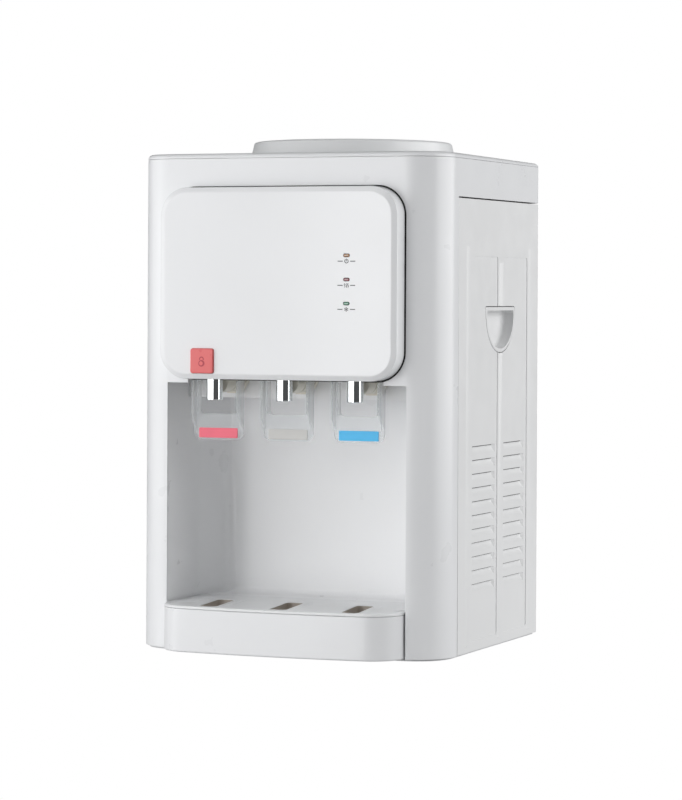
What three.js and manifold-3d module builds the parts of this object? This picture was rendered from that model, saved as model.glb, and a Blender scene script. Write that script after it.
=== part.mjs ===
// Countertop water dispenser with three taps, a top bottle seat and a pull-out drip tray.
// Millimetres. X runs to the right along the front, Y goes from the front to the back, Z is up.
// While it is built, X = 0 is the middle, Y = 0 the front plane and Z = 0 the bottom of the casing.
// The last lines move the whole model so that the origin is under the middle of its box.

import * as THREE from 'three';
import { mergeVertices } from 'three/addons/utils/BufferGeometryUtils.js';
import Module from 'manifold-3d';

const wasm = await Module();
wasm.setup();

// ---------------------------------------------------------------- driving dimensions

const WIDTH = 310;                 // casing, side to side
const DEPTH = 287;                 // casing, front plane to rear plane
const DECK_Z = 465;                // top of the top cover
const WALL = 3;                    // casing wall
const GAP = 0.3;                   // clearance between neighbouring pieces
const FRONT_CORNER = 38;           // radius of the upright front corners
const REAR_CORNER = 17;            // radius of the upright rear corners
const FRONT_SEAM_Y = 45;           // where the front housing meets the side panels
const SIDE_SEAM_Z = 424;           // where the side panels meet the top cover
const SEAM = 0.6;                  // half width of the open seams
const RIM_Z = 460.4;               // where the front housing meets the top cover
const FOOT_RADIUS = 14;
const BASE_BOTTOM = -1.5;
const FOOT_BOTTOM = -4;

const ALCOVE_HALF = 121;           // cup bay, half its width
const ALCOVE_BACK = 119;           // cup bay, its back wall
const ALCOVE_TOP = 250;            // top edge of the bay beside the taps
const TAP_CUTOUT_HALF = 98.5;      // the front is open behind the control panel for the taps
const TAP_CUTOUT_TOP = 294;
const MOUNT_WALL_Y = 50;           // wall that the taps are bolted to
const MOUNT_WALL_Z = 235;          // its lower edge
const SHELF_Z = 43;                // ledge behind the drip tray

const PANEL_HALF = 118.8;          // control panel
const PANEL_BOTTOM = 254.1;
const PANEL_TOP = 432.7;
const PANEL_CORNER = 27;
const PANEL_FACE_Y = -21;
const PANEL_BEVEL_IN = 5;
const PANEL_BEVEL_DEEP = 2.4;
const PANEL_WALL = 2.5;

const BUTTON_X = -74.2;            // child lock
const BUTTON_Z = 271;
const BUTTON_SIZE = 23.2;
const BUTTON_PROUD = 2.5;
const LENS_X = 70;
const LENS_Z = { power: 369.2, heating: 347.1, cooling: 325.2 };
const LENS_LONG = 6.2;
const LENS_TALL = 3;

const TAP_PITCH = 71;
const TAP_NAMES = ['hot', 'normal', 'cold'];
const TAP_AXIS_Z = 251.5;          // axis of the horizontal tap barrel
const BARREL_RADIUS = 10.5;
const CHAMBER_RADIUS = 11;         // upright valve chamber over the spout
const CHAMBER_BOTTOM = 254.6;
const CHAMBER_TOP = 277;
const SPOUT_RADIUS = 7.8;
const SPOUT_BOTTOM = 234;
const PIVOT_Y = -8;                // lever hinge axis, along X
const PIVOT_Z = 281;
const LEVER_HALF = 25;
const LEVER_BOTTOM = 196.5;
const LEVER_FACE_Y = 9.5;          // front of the clear paddle
const LEVER_PLATE = 2.6;
const LEVER_OPENING_HALF = 19;
const LEVER_OPENING_BOTTOM = 221;
const LEVER_TOP_EDGE = 252;        // where the paddle stops and the two arms lean forward

const TRAY_HALF = 119.3;
const TRAY_FRONT = -35.5;
const TRAY_REAR = 87;
const TRAY_CORNER = 22;
const TRAY_BOW_RADIUS = 787;
const TRAY_TOP = 40.5;
const GRILLE_TOP = 43.5;
const TRAY_WALL = 2.5;
const DRAIN_HOLE = { y: 8, halfLong: 33, halfWide: 7.3, lean: -0.15, corner: 4 };

const SEAT_Y = 167.5;              // centre of the bottle seat
const DECK_HOLE = 90;
const COLLAR_BASE = 100;
const COLLAR_RIM = 96.7;
const COLLAR_TOP = 481;
const THROAT_RADIUS = 31;
const THROAT_BOTTOM = 399;

const POCKET_Y = 163;              // side handle pockets
const POCKET_TOP = 323;
const POCKET_HALF = 42;
const POCKET_TALL = 45;
const POCKET_DEEP = 16;
const LOUVRE_ROWS = 11;
const LOUVRE_FIRST_Z = 63;
const LOUVRE_PITCH = 12.9;
const LOUVRE_COLUMNS = [[87, 150], [173, 233]];

const TANK_RADIUS = 58;            // cold tank, under the bottle seat
const TANK_BOTTOM = 304;
const TANK_TOP = 392;
const FOAM = 9;
const HOT_TANK = { x: -75, y: 205, radius: 42, bottom: 110, top: 228 };
const FAN = { z: 346, half: 40, y: 270, deep: 12 };
const TAP_INLET_Y = MOUNT_WALL_Y + 14.5;
const REAR_INNER_Y = DEPTH - 2.6;  // front face of the steel rear panel
const SWITCH = { z: 395, halfWide: 6.5, halfTall: 10 };
const SWITCH_X = { heating: 100, cooling: 74 };
const SWITCH_TILT = 7;             // degrees each way
const DRAIN = { x: -75, z: 60 };

// ---------------------------------------------------------------- materials

function plastic(color, roughness) {
  return new THREE.MeshStandardMaterial({ color, roughness, metalness: 0 });
}

function metal(color, roughness) {
  return new THREE.MeshStandardMaterial({ color, roughness, metalness: 1 });
}

const MATERIALS = {
  glossWhite: plastic(0xeef0f2, 0.25),
  satinWhite: plastic(0xe4e6e8, 0.4),
  greyWhite: plastic(0xd5d8da, 0.35),
  cream: plastic(0xe9e7dc, 0.45),
  clear: new THREE.MeshStandardMaterial({
    color: 0xf4f8fb,
    roughness: 0.08,
    metalness: 0,
    transparent: true,
    opacity: 0.35,
  }),
  red: plastic(0xe4727c, 0.3),
  labelRed: plastic(0xec6f80, 0.4),
  labelGrey: plastic(0xc9c9c6, 0.4),
  labelBlue: plastic(0x45bdf3, 0.4),
  amberLens: plastic(0x9a6a2c, 0.2),
  redLens: plastic(0x8c2430, 0.2),
  greenLens: plastic(0x1f7a4a, 0.2),
  chrome: metal(0xd9dde0, 0.08),
  steel: metal(0xb9bcbf, 0.3),
  aluminium: metal(0xc4c6c8, 0.4),
  paintedSteel: plastic(0xdcdedf, 0.45),
  black: plastic(0x1e1f21, 0.5),
  rubber: plastic(0x2a2a2b, 0.8),
  foam: plastic(0xe6dcc0, 0.9),
  silicone: plastic(0xe8e8e4, 0.6),
  circuitBoard: plastic(0x1f6b3f, 0.5),
};

// ---------------------------------------------------------------- geometry helpers

/** A closed three.js geometry as a solid that can be joined and cut. */
function solid(geometry) {
  const bare = geometry.index ? geometry.toNonIndexed() : geometry.clone();
  bare.deleteAttribute('normal');
  bare.deleteAttribute('uv');
  const merged = mergeVertices(bare, 1e-4);
  return new wasm.Manifold(new wasm.Mesh({
    numProp: 3,
    vertProperties: Float32Array.from(merged.attributes.position.array),
    triVerts: Uint32Array.from(merged.index.array),
  }));
}

function join(first, ...others) {
  return others.reduce((sum, other) => sum.add(other), first);
}

function cut(first, ...others) {
  return others.reduce((rest, other) => rest.subtract(other), first);
}

function toGeometry(body) {
  const mesh = body.getMesh();
  const geometry = new THREE.BufferGeometry();
  const points = Float32Array.from(mesh.vertProperties);
  geometry.setAttribute('position', new THREE.BufferAttribute(points, 3));
  geometry.setIndex([...mesh.triVerts]);
  geometry.computeVertexNormals();
  return geometry;
}

/** A block between two corners. */
function block(x0, x1, y0, y1, z0, z1) {
  const geometry = new THREE.BoxGeometry(x1 - x0, y1 - y0, z1 - z0);
  geometry.translate((x0 + x1) / 2, (y0 + y1) / 2, (z0 + z1) / 2);
  return solid(geometry);
}

/** A shape drawn in X and Y, raised from z0 to z1. */
function raise(shape, z0, z1, curveSegments = 6) {
  const geometry = new THREE.ExtrudeGeometry(shape, { depth: z1 - z0, bevelEnabled: false, curveSegments });
  geometry.translate(0, 0, z0);
  return solid(geometry);
}

/** A shape drawn in X and Z, run from y0 back to y1. */
function runBack(shape, y0, y1, curveSegments = 6) {
  const geometry = new THREE.ExtrudeGeometry(shape, { depth: y1 - y0, bevelEnabled: false, curveSegments });
  geometry.rotateX(Math.PI / 2);
  geometry.translate(0, y1, 0);
  return solid(geometry);
}

/** A shape drawn in Y and Z, run across from x0 to x1. */
function runAcross(shape, x0, x1, curveSegments = 6) {
  const geometry = new THREE.ExtrudeGeometry(shape, { depth: x1 - x0, bevelEnabled: false, curveSegments });
  geometry.rotateY(Math.PI / 2);
  geometry.rotateX(Math.PI / 2);
  geometry.translate(x0, 0, 0);
  return solid(geometry);
}

function polygon(points) {
  return new THREE.Shape(points.map(([a, b]) => new THREE.Vector2(a, b)));
}

/** A rectangle with one radius, or with one for each corner: low-low, high-low, high-high, low-high. */
function roundedRectangle(a0, a1, b0, b1, radius) {
  const [r0, r1, r2, r3] = Array.isArray(radius) ? radius : [radius, radius, radius, radius];
  const shape = new THREE.Shape();
  shape.moveTo(a0 + r0, b0);
  shape.lineTo(a1 - r1, b0);
  shape.absarc(a1 - r1, b0 + r1, r1, -Math.PI / 2, 0);
  shape.lineTo(a1, b1 - r2);
  shape.absarc(a1 - r2, b1 - r2, r2, 0, Math.PI / 2);
  shape.lineTo(a0 + r3, b1);
  shape.absarc(a0 + r3, b1 - r3, r3, Math.PI / 2, Math.PI);
  shape.lineTo(a0, b0 + r0);
  shape.absarc(a0 + r0, b0 + r0, r0, Math.PI, Math.PI * 1.5);
  return shape;
}

/** A closed profile of [radius, height] points, turned about the upright line through x, y. */
function turn(profile, x, y, segments = 32) {
  const points = [...profile, profile[0]].map(([r, z]) => new THREE.Vector2(r, z));
  const geometry = new THREE.LatheGeometry(points, segments);
  geometry.rotateX(Math.PI / 2);
  geometry.translate(x, y, 0);
  return solid(geometry);
}

/** A round bar between two points. */
function bar(from, to, radius, segments = 16) {
  const start = new THREE.Vector3(...from);
  const along = new THREE.Vector3(...to).sub(start);
  const geometry = new THREE.CylinderGeometry(radius, radius, along.length(), segments);
  geometry.translate(0, along.length() / 2, 0);
  const up = new THREE.Vector3(0, 1, 0);
  const toAxis = new THREE.Quaternion().setFromUnitVectors(up, along.clone().normalize());
  geometry.applyQuaternion(toAxis);
  geometry.translate(start.x, start.y, start.z);
  return solid(geometry);
}

/** A bent pipe through the given points, solid. */
function pipe(points, radius, steps = 11) {
  const stops = points.map((point) => new THREE.Vector3(...point));
  const path = new THREE.CatmullRomCurve3(stops, false, 'catmullrom', 0.3);
  const section = new THREE.Shape();
  section.absarc(0, 0, radius, 0, Math.PI * 2);
  const geometry = new THREE.ExtrudeGeometry(section, { steps, extrudePath: path, curveSegments: 4 });
  return solid(geometry);
}

function mirrorX(body) {
  return body.mirror([1, 0, 0]);
}

const model = new THREE.Group();

function piece(name, body, material) {
  const mesh = new THREE.Mesh(toGeometry(body), MATERIALS[material]);
  mesh.name = name;
  model.add(mesh);
}

// ---------------------------------------------------------------- casing outlines

/** The casing seen from above, drawn in from its outer faces by inset. */
function casingPlan(inset) {
  const half = WIDTH / 2 - inset;
  const front = FRONT_CORNER - inset;
  const rear = Math.max(REAR_CORNER - inset, 0.5);
  return roundedRectangle(-half, half, inset, DEPTH - inset, [front, front, rear, rear]);
}

/** The drip tray seen from above: bowed front, round front corners, straight sides. */
function trayPlan(inset) {
  const half = TRAY_HALF - inset;
  const corner = TRAY_CORNER - inset;
  const bow = TRAY_BOW_RADIUS - inset;
  const bowCentreY = TRAY_FRONT + TRAY_BOW_RADIUS;
  const cornerX = half - corner;
  const cornerY = bowCentreY - Math.sqrt((bow - corner) ** 2 - cornerX ** 2);
  const lean = Math.asin(cornerX / (bow - corner));
  const shape = new THREE.Shape();
  shape.moveTo(-half, TRAY_REAR - inset);
  shape.lineTo(-half, cornerY);
  shape.absarc(-cornerX, cornerY, corner, Math.PI, Math.PI * 1.5 - lean);
  shape.absarc(0, bowCentreY, bow, Math.PI * 1.5 - lean, Math.PI * 1.5 + lean);
  shape.absarc(cornerX, cornerY, corner, Math.PI * 1.5 + lean, Math.PI * 2);
  shape.lineTo(half, TRAY_REAR - inset);
  return shape;
}

// ---------------------------------------------------------------- casing

function frontHousing() {
  const shell = cut(
    raise(casingPlan(0), GAP, RIM_Z - GAP),
    raise(casingPlan(WALL), -1, RIM_Z + 1),
    block(-WIDTH, WIDTH, FRONT_SEAM_Y, DEPTH + 1, -1, RIM_Z + 1),
  );
  const cutout = roundedRectangle(-TAP_CUTOUT_HALF, TAP_CUTOUT_HALF, ALCOVE_TOP - 20, TAP_CUTOUT_TOP, 12);
  return cut(
    shell,
    block(-ALCOVE_HALF, ALCOVE_HALF, -1, WALL + 1, -1, ALCOVE_TOP),
    runBack(cutout, -1, WALL + 1, 3),
  );
}

/** Liner of the cup bay: two cheeks, the ledge, the back wall, the stepped wall for the taps and a roof. */
function dispensingAlcove() {
  const skin = 2.5;
  const inner = ALCOVE_HALF + GAP;
  const cheekFront = WALL + 1.2;
  const ledgeFront = TRAY_REAR + 1.5;
  const section = polygon([
    [ledgeFront, GAP],
    [ledgeFront, SHELF_Z],
    [ALCOVE_BACK - 6, SHELF_Z],
    [ALCOVE_BACK, SHELF_Z + 6],
    [ALCOVE_BACK, MOUNT_WALL_Z],
    [MOUNT_WALL_Y, MOUNT_WALL_Z],
    [MOUNT_WALL_Y, TAP_CUTOUT_TOP],
    [cheekFront, TAP_CUTOUT_TOP],
    [cheekFront, TAP_CUTOUT_TOP + skin],
    [MOUNT_WALL_Y + skin, TAP_CUTOUT_TOP + skin],
    [MOUNT_WALL_Y + skin, MOUNT_WALL_Z + skin],
    [ALCOVE_BACK + skin, MOUNT_WALL_Z + skin],
    [ALCOVE_BACK + skin, SHELF_Z + 5],
    [ALCOVE_BACK - 5, SHELF_Z - skin],
    [ledgeFront + skin, SHELF_Z - skin],
    [ledgeFront + skin, GAP],
  ]);
  const cheek = polygon([
    [cheekFront, GAP],
    [ALCOVE_BACK + skin, GAP],
    [ALCOVE_BACK + skin, MOUNT_WALL_Z + skin],
    [MOUNT_WALL_Y + skin, MOUNT_WALL_Z + skin],
    [MOUNT_WALL_Y + skin, TAP_CUTOUT_TOP + skin],
    [cheekFront, TAP_CUTOUT_TOP + skin],
  ]);
  const liner = join(
    runAcross(section, -inner - skin, inner + skin),
    runAcross(cheek, -inner - skin, -inner),
    runAcross(cheek, inner, inner + skin),
  );
  const shankHoles = [-TAP_PITCH, 0, TAP_PITCH].map((x) => (
    bar([x, MOUNT_WALL_Y - 1, TAP_AXIS_Z], [x, MOUNT_WALL_Y + 4, TAP_AXIS_Z], 8, 12)
  ));
  return cut(liner, ...shankHoles);
}

function topCover() {
  const skirtBottom = SIDE_SEAM_Z + SEAM;
  const cover = cut(
    raise(casingPlan(0), skirtBottom, DECK_Z),
    raise(casingPlan(WALL), skirtBottom - 1, DECK_Z - WALL),
    block(-WIDTH, WIDTH, -1, FRONT_SEAM_Y + SEAM, 0, RIM_Z + GAP),
  );
  const tongues = [-1, 1].map((side) => {
    const face = side * (WIDTH / 2 - WALL - GAP);
    const inner = face - side * 2;
    const root = face + side * (GAP + 0.1);
    return join(
      block(Math.min(face, inner), Math.max(face, inner), 66, 260, skirtBottom - 9, skirtBottom + 8),
      block(Math.min(root, inner), Math.max(root, inner), 66, 260, skirtBottom + 2, skirtBottom + 8),
    );
  });
  const drop = DECK_Z - 9;
  const hole = turn([[0, drop], [DECK_HOLE, drop], [DECK_HOLE, DECK_Z + 1], [0, DECK_Z + 1]], 0, SEAT_Y, 32);
  return cut(join(cover, ...tongues), hole);
}

/** The finger pocket seen from the side: flat top, half an ellipse below. */
function pocketOutline(inset) {
  const half = POCKET_HALF - inset;
  const straight = 5;
  const shape = new THREE.Shape();
  shape.moveTo(POCKET_Y - half, POCKET_TOP - inset);
  const spring = POCKET_TOP - straight;
  const tall = POCKET_TALL - straight - inset;
  shape.lineTo(POCKET_Y - half, spring);
  shape.absellipse(POCKET_Y, spring, half, tall, Math.PI, Math.PI * 2);
  shape.lineTo(POCKET_Y + half, POCKET_TOP - inset);
  return shape;
}

/** The panel on the +X side, with its pocket opening, two shallow fields and the louvre slots. */
function rightSidePanel() {
  const outer = WIDTH / 2;
  const rearEdge = 18;
  const shell = cut(
    raise(casingPlan(0), GAP, SIDE_SEAM_Z - SEAM),
    raise(casingPlan(WALL), -1, SIDE_SEAM_Z + 1),
    block(-WIDTH, WIDTH, -1, FRONT_SEAM_Y + SEAM, -1, SIDE_SEAM_Z + 1),
    block(-WIDTH, outer - rearEdge, -1, DEPTH + 1, -1, SIDE_SEAM_Z + 1),
  );
  const tongueOuter = outer - WALL - GAP;
  const tongue = join(
    block(tongueOuter - 2, tongueOuter, FRONT_SEAM_Y - 6, FRONT_SEAM_Y + 12, GAP, SIDE_SEAM_Z - 12),
    block(tongueOuter - 2, outer - WALL + 0.1, FRONT_SEAM_Y + 4, FRONT_SEAM_Y + 12, GAP, SIDE_SEAM_Z - 12),
  );
  const fields = [[80, 153], [170, 240]].map(([y0, y1]) => (
    block(outer - 0.9, outer + 1, y0, y1, 12, 370)
  ));
  const slots = [];
  for (const [y0, y1] of LOUVRE_COLUMNS) {
    for (let row = 0; row < LOUVRE_ROWS; row += 1) {
      const z = LOUVRE_FIRST_Z + row * LOUVRE_PITCH;
      slots.push(block(outer - WALL - 1, outer + 1, y0, y1, z - 3.5, z));
    }
  }
  const opening = runAcross(pocketOutline(0), outer - WALL - 1, outer + 1);
  return cut(join(shell, tongue), ...fields, ...slots, opening);
}

/** The scooped cup that closes the finger pocket on the +X side. */
function rightHandleCup() {
  const outer = WIDTH / 2 - 0.5;
  const skin = 2.2;
  const flange = cut(
    runAcross(pocketOutline(-5), WIDTH / 2 - WALL - GAP - 2, WIDTH / 2 - WALL - GAP),
    runAcross(pocketOutline(GAP + skin), outer - POCKET_DEEP, outer + 1),
  );
  const sleeve = cut(
    runAcross(pocketOutline(GAP), outer - POCKET_DEEP, outer),
    runAcross(pocketOutline(GAP + skin), outer - POCKET_DEEP + skin, outer + 1),
  );
  return join(sleeve, flange);
}

/** Painted steel back with the fan grille and the holes for switches, cord inlet and drain. */
function rearPanel() {
  const half = WIDTH / 2 - 18.4;
  const thick = 1.6;
  const y0 = REAR_INNER_Y;
  const sheet = block(-half, half, y0, y0 + thick, 2, SIDE_SEAM_Z - SEAM);
  const holes = [];
  for (let row = 0; row < 9; row += 1) {
    const z = FAN.z - 32 + row * 8;
    holes.push(block(-34, 34, y0 - 1, y0 + 3, z - 2, z + 2));
  }
  for (let row = 0; row < 8; row += 1) {
    const z = 110 + row * 16;
    holes.push(block(-20, 110, y0 - 1, y0 + 3, z - 2.5, z + 2.5));
  }
  for (const x of Object.values(SWITCH_X)) {
    const w = SWITCH.halfWide + GAP;
    const h = SWITCH.halfTall + GAP;
    holes.push(block(x - w, x + w, y0 - 1, y0 + 3, SWITCH.z - h, SWITCH.z + h));
  }
  holes.push(bar([100, y0 - 1, 40], [100, y0 + 3, 40], 7.3));
  holes.push(bar([DRAIN.x, y0 - 1, DRAIN.z], [DRAIN.x, y0 + 3, DRAIN.z], 8.5));
  return cut(sheet, ...holes);
}

function basePlate() {
  return cut(
    raise(casingPlan(WALL + 0.5), BASE_BOTTOM, 0, 3),
    ...[-90, -30, 30, 90].map((x) => block(x - 22, x + 22, 215, 221, BASE_BOTTOM - 1, 1)),
  );
}

function foot(x, y) {
  const profile = [
    [0, FOOT_BOTTOM],
    [FOOT_RADIUS - 1, FOOT_BOTTOM],
    [FOOT_RADIUS, BASE_BOTTOM - GAP],
    [0, BASE_BOTTOM - GAP],
  ];
  return turn(profile, x, y, 14);
}

piece('front_housing', frontHousing(), 'glossWhite');
piece('dispensing_alcove', dispensingAlcove(), 'glossWhite');
piece('top_cover', topCover(), 'glossWhite');
piece('right_side_panel', rightSidePanel(), 'satinWhite');
piece('left_side_panel', mirrorX(rightSidePanel()), 'satinWhite');
piece('right_handle_cup', rightHandleCup(), 'satinWhite');
piece('left_handle_cup', mirrorX(rightHandleCup()), 'satinWhite');
piece('rear_panel', rearPanel(), 'paintedSteel');
piece('base_plate', basePlate(), 'paintedSteel');
piece('foot_front_left', foot(-112, 62), 'rubber');
piece('foot_front_right', foot(112, 62), 'rubber');
piece('foot_rear_left', foot(-112, 248), 'rubber');
piece('foot_rear_right', foot(112, 248), 'rubber');

// ---------------------------------------------------------------- control panel

/** A lying slot outline with round ends, in X and Z. */
function slotOutline(x, z, long, tall) {
  return roundedRectangle(x - long / 2, x + long / 2, z - tall / 2, z + tall / 2, tall / 2 - 0.01);
}

function controlPanel() {
  const wallFront = PANEL_FACE_Y + PANEL_BEVEL_DEEP;
  const outline = roundedRectangle(-PANEL_HALF, PANEL_HALF, PANEL_BOTTOM, PANEL_TOP, PANEL_CORNER);
  const crowned = new THREE.ExtrudeGeometry(outline, {
    depth: 40,
    bevelThickness: PANEL_BEVEL_DEEP,
    bevelSize: PANEL_BEVEL_IN,
    bevelOffset: -PANEL_BEVEL_IN,
    bevelSegments: 1,
    curveSegments: 5,
  });
  crowned.rotateX(Math.PI / 2);
  crowned.translate(0, wallFront + 40, 0);
  const back = block(-WIDTH, WIDTH, -GAP, 60, 0, DECK_Z);
  const inset = PANEL_WALL;
  const hollow = roundedRectangle(
    -PANEL_HALF + inset,
    PANEL_HALF - inset,
    PANEL_BOTTOM + inset,
    PANEL_TOP - inset,
    PANEL_CORNER - inset,
  );
  const holes = Object.values(LENS_Z).map((z) => (
    runBack(slotOutline(LENS_X, z, LENS_LONG + 2 * GAP, LENS_TALL + 2 * GAP), PANEL_FACE_Y - 1, -15, 2)
  ));
  const half = BUTTON_SIZE / 2 + GAP;
  const buttonHole = block(
    BUTTON_X - half,
    BUTTON_X + half,
    PANEL_FACE_Y - 1,
    -10,
    BUTTON_Z - half,
    BUTTON_Z + half,
  );
  const tapNotch = block(
    -TAP_CUTOUT_HALF,
    TAP_CUTOUT_HALF,
    PANEL_FACE_Y + 7,
    1,
    PANEL_BOTTOM - 1,
    PANEL_BOTTOM + inset + 1,
  );
  return cut(solid(crowned), back, runBack(hollow, wallFront, 1, 5), buttonHole, tapNotch, ...holes);
}

function childLockButton() {
  const half = BUTTON_SIZE / 2;
  const innerFace = PANEL_FACE_Y + PANEL_BEVEL_DEEP;
  const cap = roundedRectangle(BUTTON_X - half, BUTTON_X + half, BUTTON_Z - half, BUTTON_Z + half, 2);
  const flange = block(
    BUTTON_X - half - 1.5,
    BUTTON_X + half + 1.5,
    innerFace + GAP,
    innerFace + 1.8,
    BUTTON_Z - half + 1,
    BUTTON_Z + half + 1.5,
  );
  return join(runBack(cap, PANEL_FACE_Y - BUTTON_PROUD, innerFace + 1, 2), flange);
}

/** Finger behind the button that stands beside the hot lever's arm and blocks it. */
function childLockLatch() {
  const front = PANEL_FACE_Y + PANEL_BEVEL_DEEP + 1.8 + GAP;
  const left = -TAP_PITCH - LEVER_HALF + 3.2;
  return join(
    block(left, left + 12, front, front + 1.4, 263, 268),
    block(left, left + 3.6, front, front + 9, 263, 275),
  );
}

function indicatorLens(z) {
  return runBack(slotOutline(LENS_X, z, LENS_LONG, LENS_TALL), PANEL_FACE_Y - 0.6, -13, 2);
}

piece('control_panel', controlPanel(), 'glossWhite');
piece('child_lock_button', childLockButton(), 'red');
piece('child_lock_latch', childLockLatch(), 'satinWhite');
piece('power_lens', indicatorLens(LENS_Z.power), 'amberLens');
piece('heating_lens', indicatorLens(LENS_Z.heating), 'redLens');
piece('cooling_lens', indicatorLens(LENS_Z.cooling), 'greenLens');
piece('indicator_board', block(LENS_X - 10, LENS_X + 10, -12.6, -11, 312, 382), 'circuitBoard');

// ---------------------------------------------------------------- taps

/** Barrel from the wall, upright chamber over the spout, and two ears that carry the lever. */
function tapBody(x) {
  const ear = (side) => runAcross(
    polygon([
      [PIVOT_Y - 4, CHAMBER_TOP - 14],
      [PIVOT_Y + 3.6, CHAMBER_TOP - 14],
      [PIVOT_Y + 3.6, PIVOT_Z + 4],
      [PIVOT_Y - 4, PIVOT_Z + 4],
    ]),
    side > 0 ? x + 12 : x - 17,
    side > 0 ? x + 17 : x - 12,
  );
  const outside = join(
    bar([x, 8.4, TAP_AXIS_Z], [x, MOUNT_WALL_Y - GAP, TAP_AXIS_Z], BARREL_RADIUS, 12),
    bar([x, MOUNT_WALL_Y - 3.4, TAP_AXIS_Z], [x, MOUNT_WALL_Y - GAP, TAP_AXIS_Z], 14, 12),
    bar([x, MOUNT_WALL_Y - 5, TAP_AXIS_Z], [x, MOUNT_WALL_Y + 14, TAP_AXIS_Z], 7.5, 10),
    bar([x, 0, CHAMBER_BOTTOM], [x, 0, CHAMBER_TOP], CHAMBER_RADIUS, 14),
    block(x - 8, x + 8, 0, 16, CHAMBER_BOTTOM, 267),
    block(x - 14, x + 14, PIVOT_Y - 4, PIVOT_Y + 3.6, CHAMBER_TOP - 14, CHAMBER_TOP - 4),
    ear(1),
    ear(-1),
  );
  return cut(
    outside,
    bar([x, 14, TAP_AXIS_Z], [x, MOUNT_WALL_Y + 20, TAP_AXIS_Z], 4, 8),
    bar([x, 17, TAP_AXIS_Z], [x, 0, CHAMBER_BOTTOM + 9], 3, 6),
    bar([x, 0, CHAMBER_BOTTOM - 1], [x, 0, CHAMBER_TOP - 5], 6, 12),
    bar([x, 0, CHAMBER_TOP - 6], [x, 0, CHAMBER_TOP + 1], 2.8, 8),
    bar([x - 20, PIVOT_Y, PIVOT_Z], [x + 20, PIVOT_Y, PIVOT_Z], 2.4, 10),
  );
}

function tapSpout(x) {
  const top = CHAMBER_BOTTOM - GAP;
  const profile = [[5.5, SPOUT_BOTTOM], [SPOUT_RADIUS, SPOUT_BOTTOM], [SPOUT_RADIUS, top], [5.5, top]];
  return turn(profile, x, 0, 18);
}

/** Stem with the valve disc inside the chamber and a head that the lever's bar lifts. */
function valveStem(x) {
  return join(
    bar([x, 0, 244], [x, 0, PIVOT_Z + 8], 2, 6),
    bar([x, 0, CHAMBER_BOTTOM + 1.5], [x, 0, CHAMBER_BOTTOM + 4.5], 5, 10),
    bar([x, 0, PIVOT_Z + 3.6], [x, 0, PIVOT_Z + 8], 4.5, 10),
  );
}

/** Clear paddle with a U opening round the barrel, two arms up to the hinge and the lifting bar. */
function tapLever(x) {
  const back = LEVER_FACE_Y + LEVER_PLATE;
  const plate = runBack(
    roundedRectangle(x - LEVER_HALF, x + LEVER_HALF, LEVER_BOTTOM, LEVER_TOP_EDGE, [8, 8, 0.5, 0.5]),
    LEVER_FACE_Y,
    back,
    3,
  );
  const opening = runBack(
    roundedRectangle(
      x - LEVER_OPENING_HALF,
      x + LEVER_OPENING_HALF,
      LEVER_OPENING_BOTTOM,
      LEVER_TOP_EDGE + 20,
      4,
    ),
    LEVER_FACE_Y - 1,
    back + 1,
    2,
  );
  const armOutline = polygon([
    [LEVER_FACE_Y + 1, LEVER_BOTTOM + 8],
    [back, LEVER_BOTTOM + 8],
    [back, LEVER_TOP_EDGE],
    [7, PIVOT_Z - 4],
    [7, PIVOT_Z + 3],
    [PIVOT_Y - 4, PIVOT_Z + 3],
    [PIVOT_Y - 4, PIVOT_Z - 5],
    [2.5, LEVER_TOP_EDGE],
    [2.5, LEVER_BOTTOM + 22],
  ]);
  const arm = (side) => {
    const outer = x + side * LEVER_HALF;
    const inner = x + side * (LEVER_HALF - 2.2);
    return join(
      runAcross(armOutline, Math.min(inner, outer), Math.max(inner, outer)),
      bar([x + side * (LEVER_HALF - 1), PIVOT_Y, PIVOT_Z], [x + side * 12.5, PIVOT_Y, PIVOT_Z], 2, 8),
    );
  };
  const liftBar = cut(
    block(x - LEVER_HALF + 1, x + LEVER_HALF - 1, -3.4, 6, PIVOT_Z - 0.5, PIVOT_Z + 2.7),
    block(x - 2.6, x + 2.6, -4, 3.2, PIVOT_Z - 2, PIVOT_Z + 4),
  );
  return join(cut(plate, opening), arm(1), arm(-1), liftBar);
}

function leverLabel(x) {
  return block(x - 19.7, x + 19.7, LEVER_FACE_Y - GAP - 0.8, LEVER_FACE_Y - GAP, 198.4, 207.7);
}

const LABEL_MATERIALS = { hot: 'labelRed', normal: 'labelGrey', cold: 'labelBlue' };
TAP_NAMES.forEach((name, index) => {
  const x = (index - 1) * TAP_PITCH;
  piece(`${name}_tap_body`, tapBody(x), 'cream');
  piece(`${name}_tap_spout`, tapSpout(x), 'chrome');
  piece(`${name}_tap_lever`, tapLever(x), 'clear');
  piece(`${name}_lever_label`, leverLabel(x), LABEL_MATERIALS[name]);
  piece(`${name}_valve_stem`, valveStem(x), 'cream');
});

// ---------------------------------------------------------------- drip tray

function dripTray() {
  return cut(
    raise(trayPlan(0), GAP, TRAY_TOP, 5),
    raise(trayPlan(TRAY_WALL), GAP + TRAY_WALL, TRAY_TOP + 1, 5),
  );
}

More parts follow.
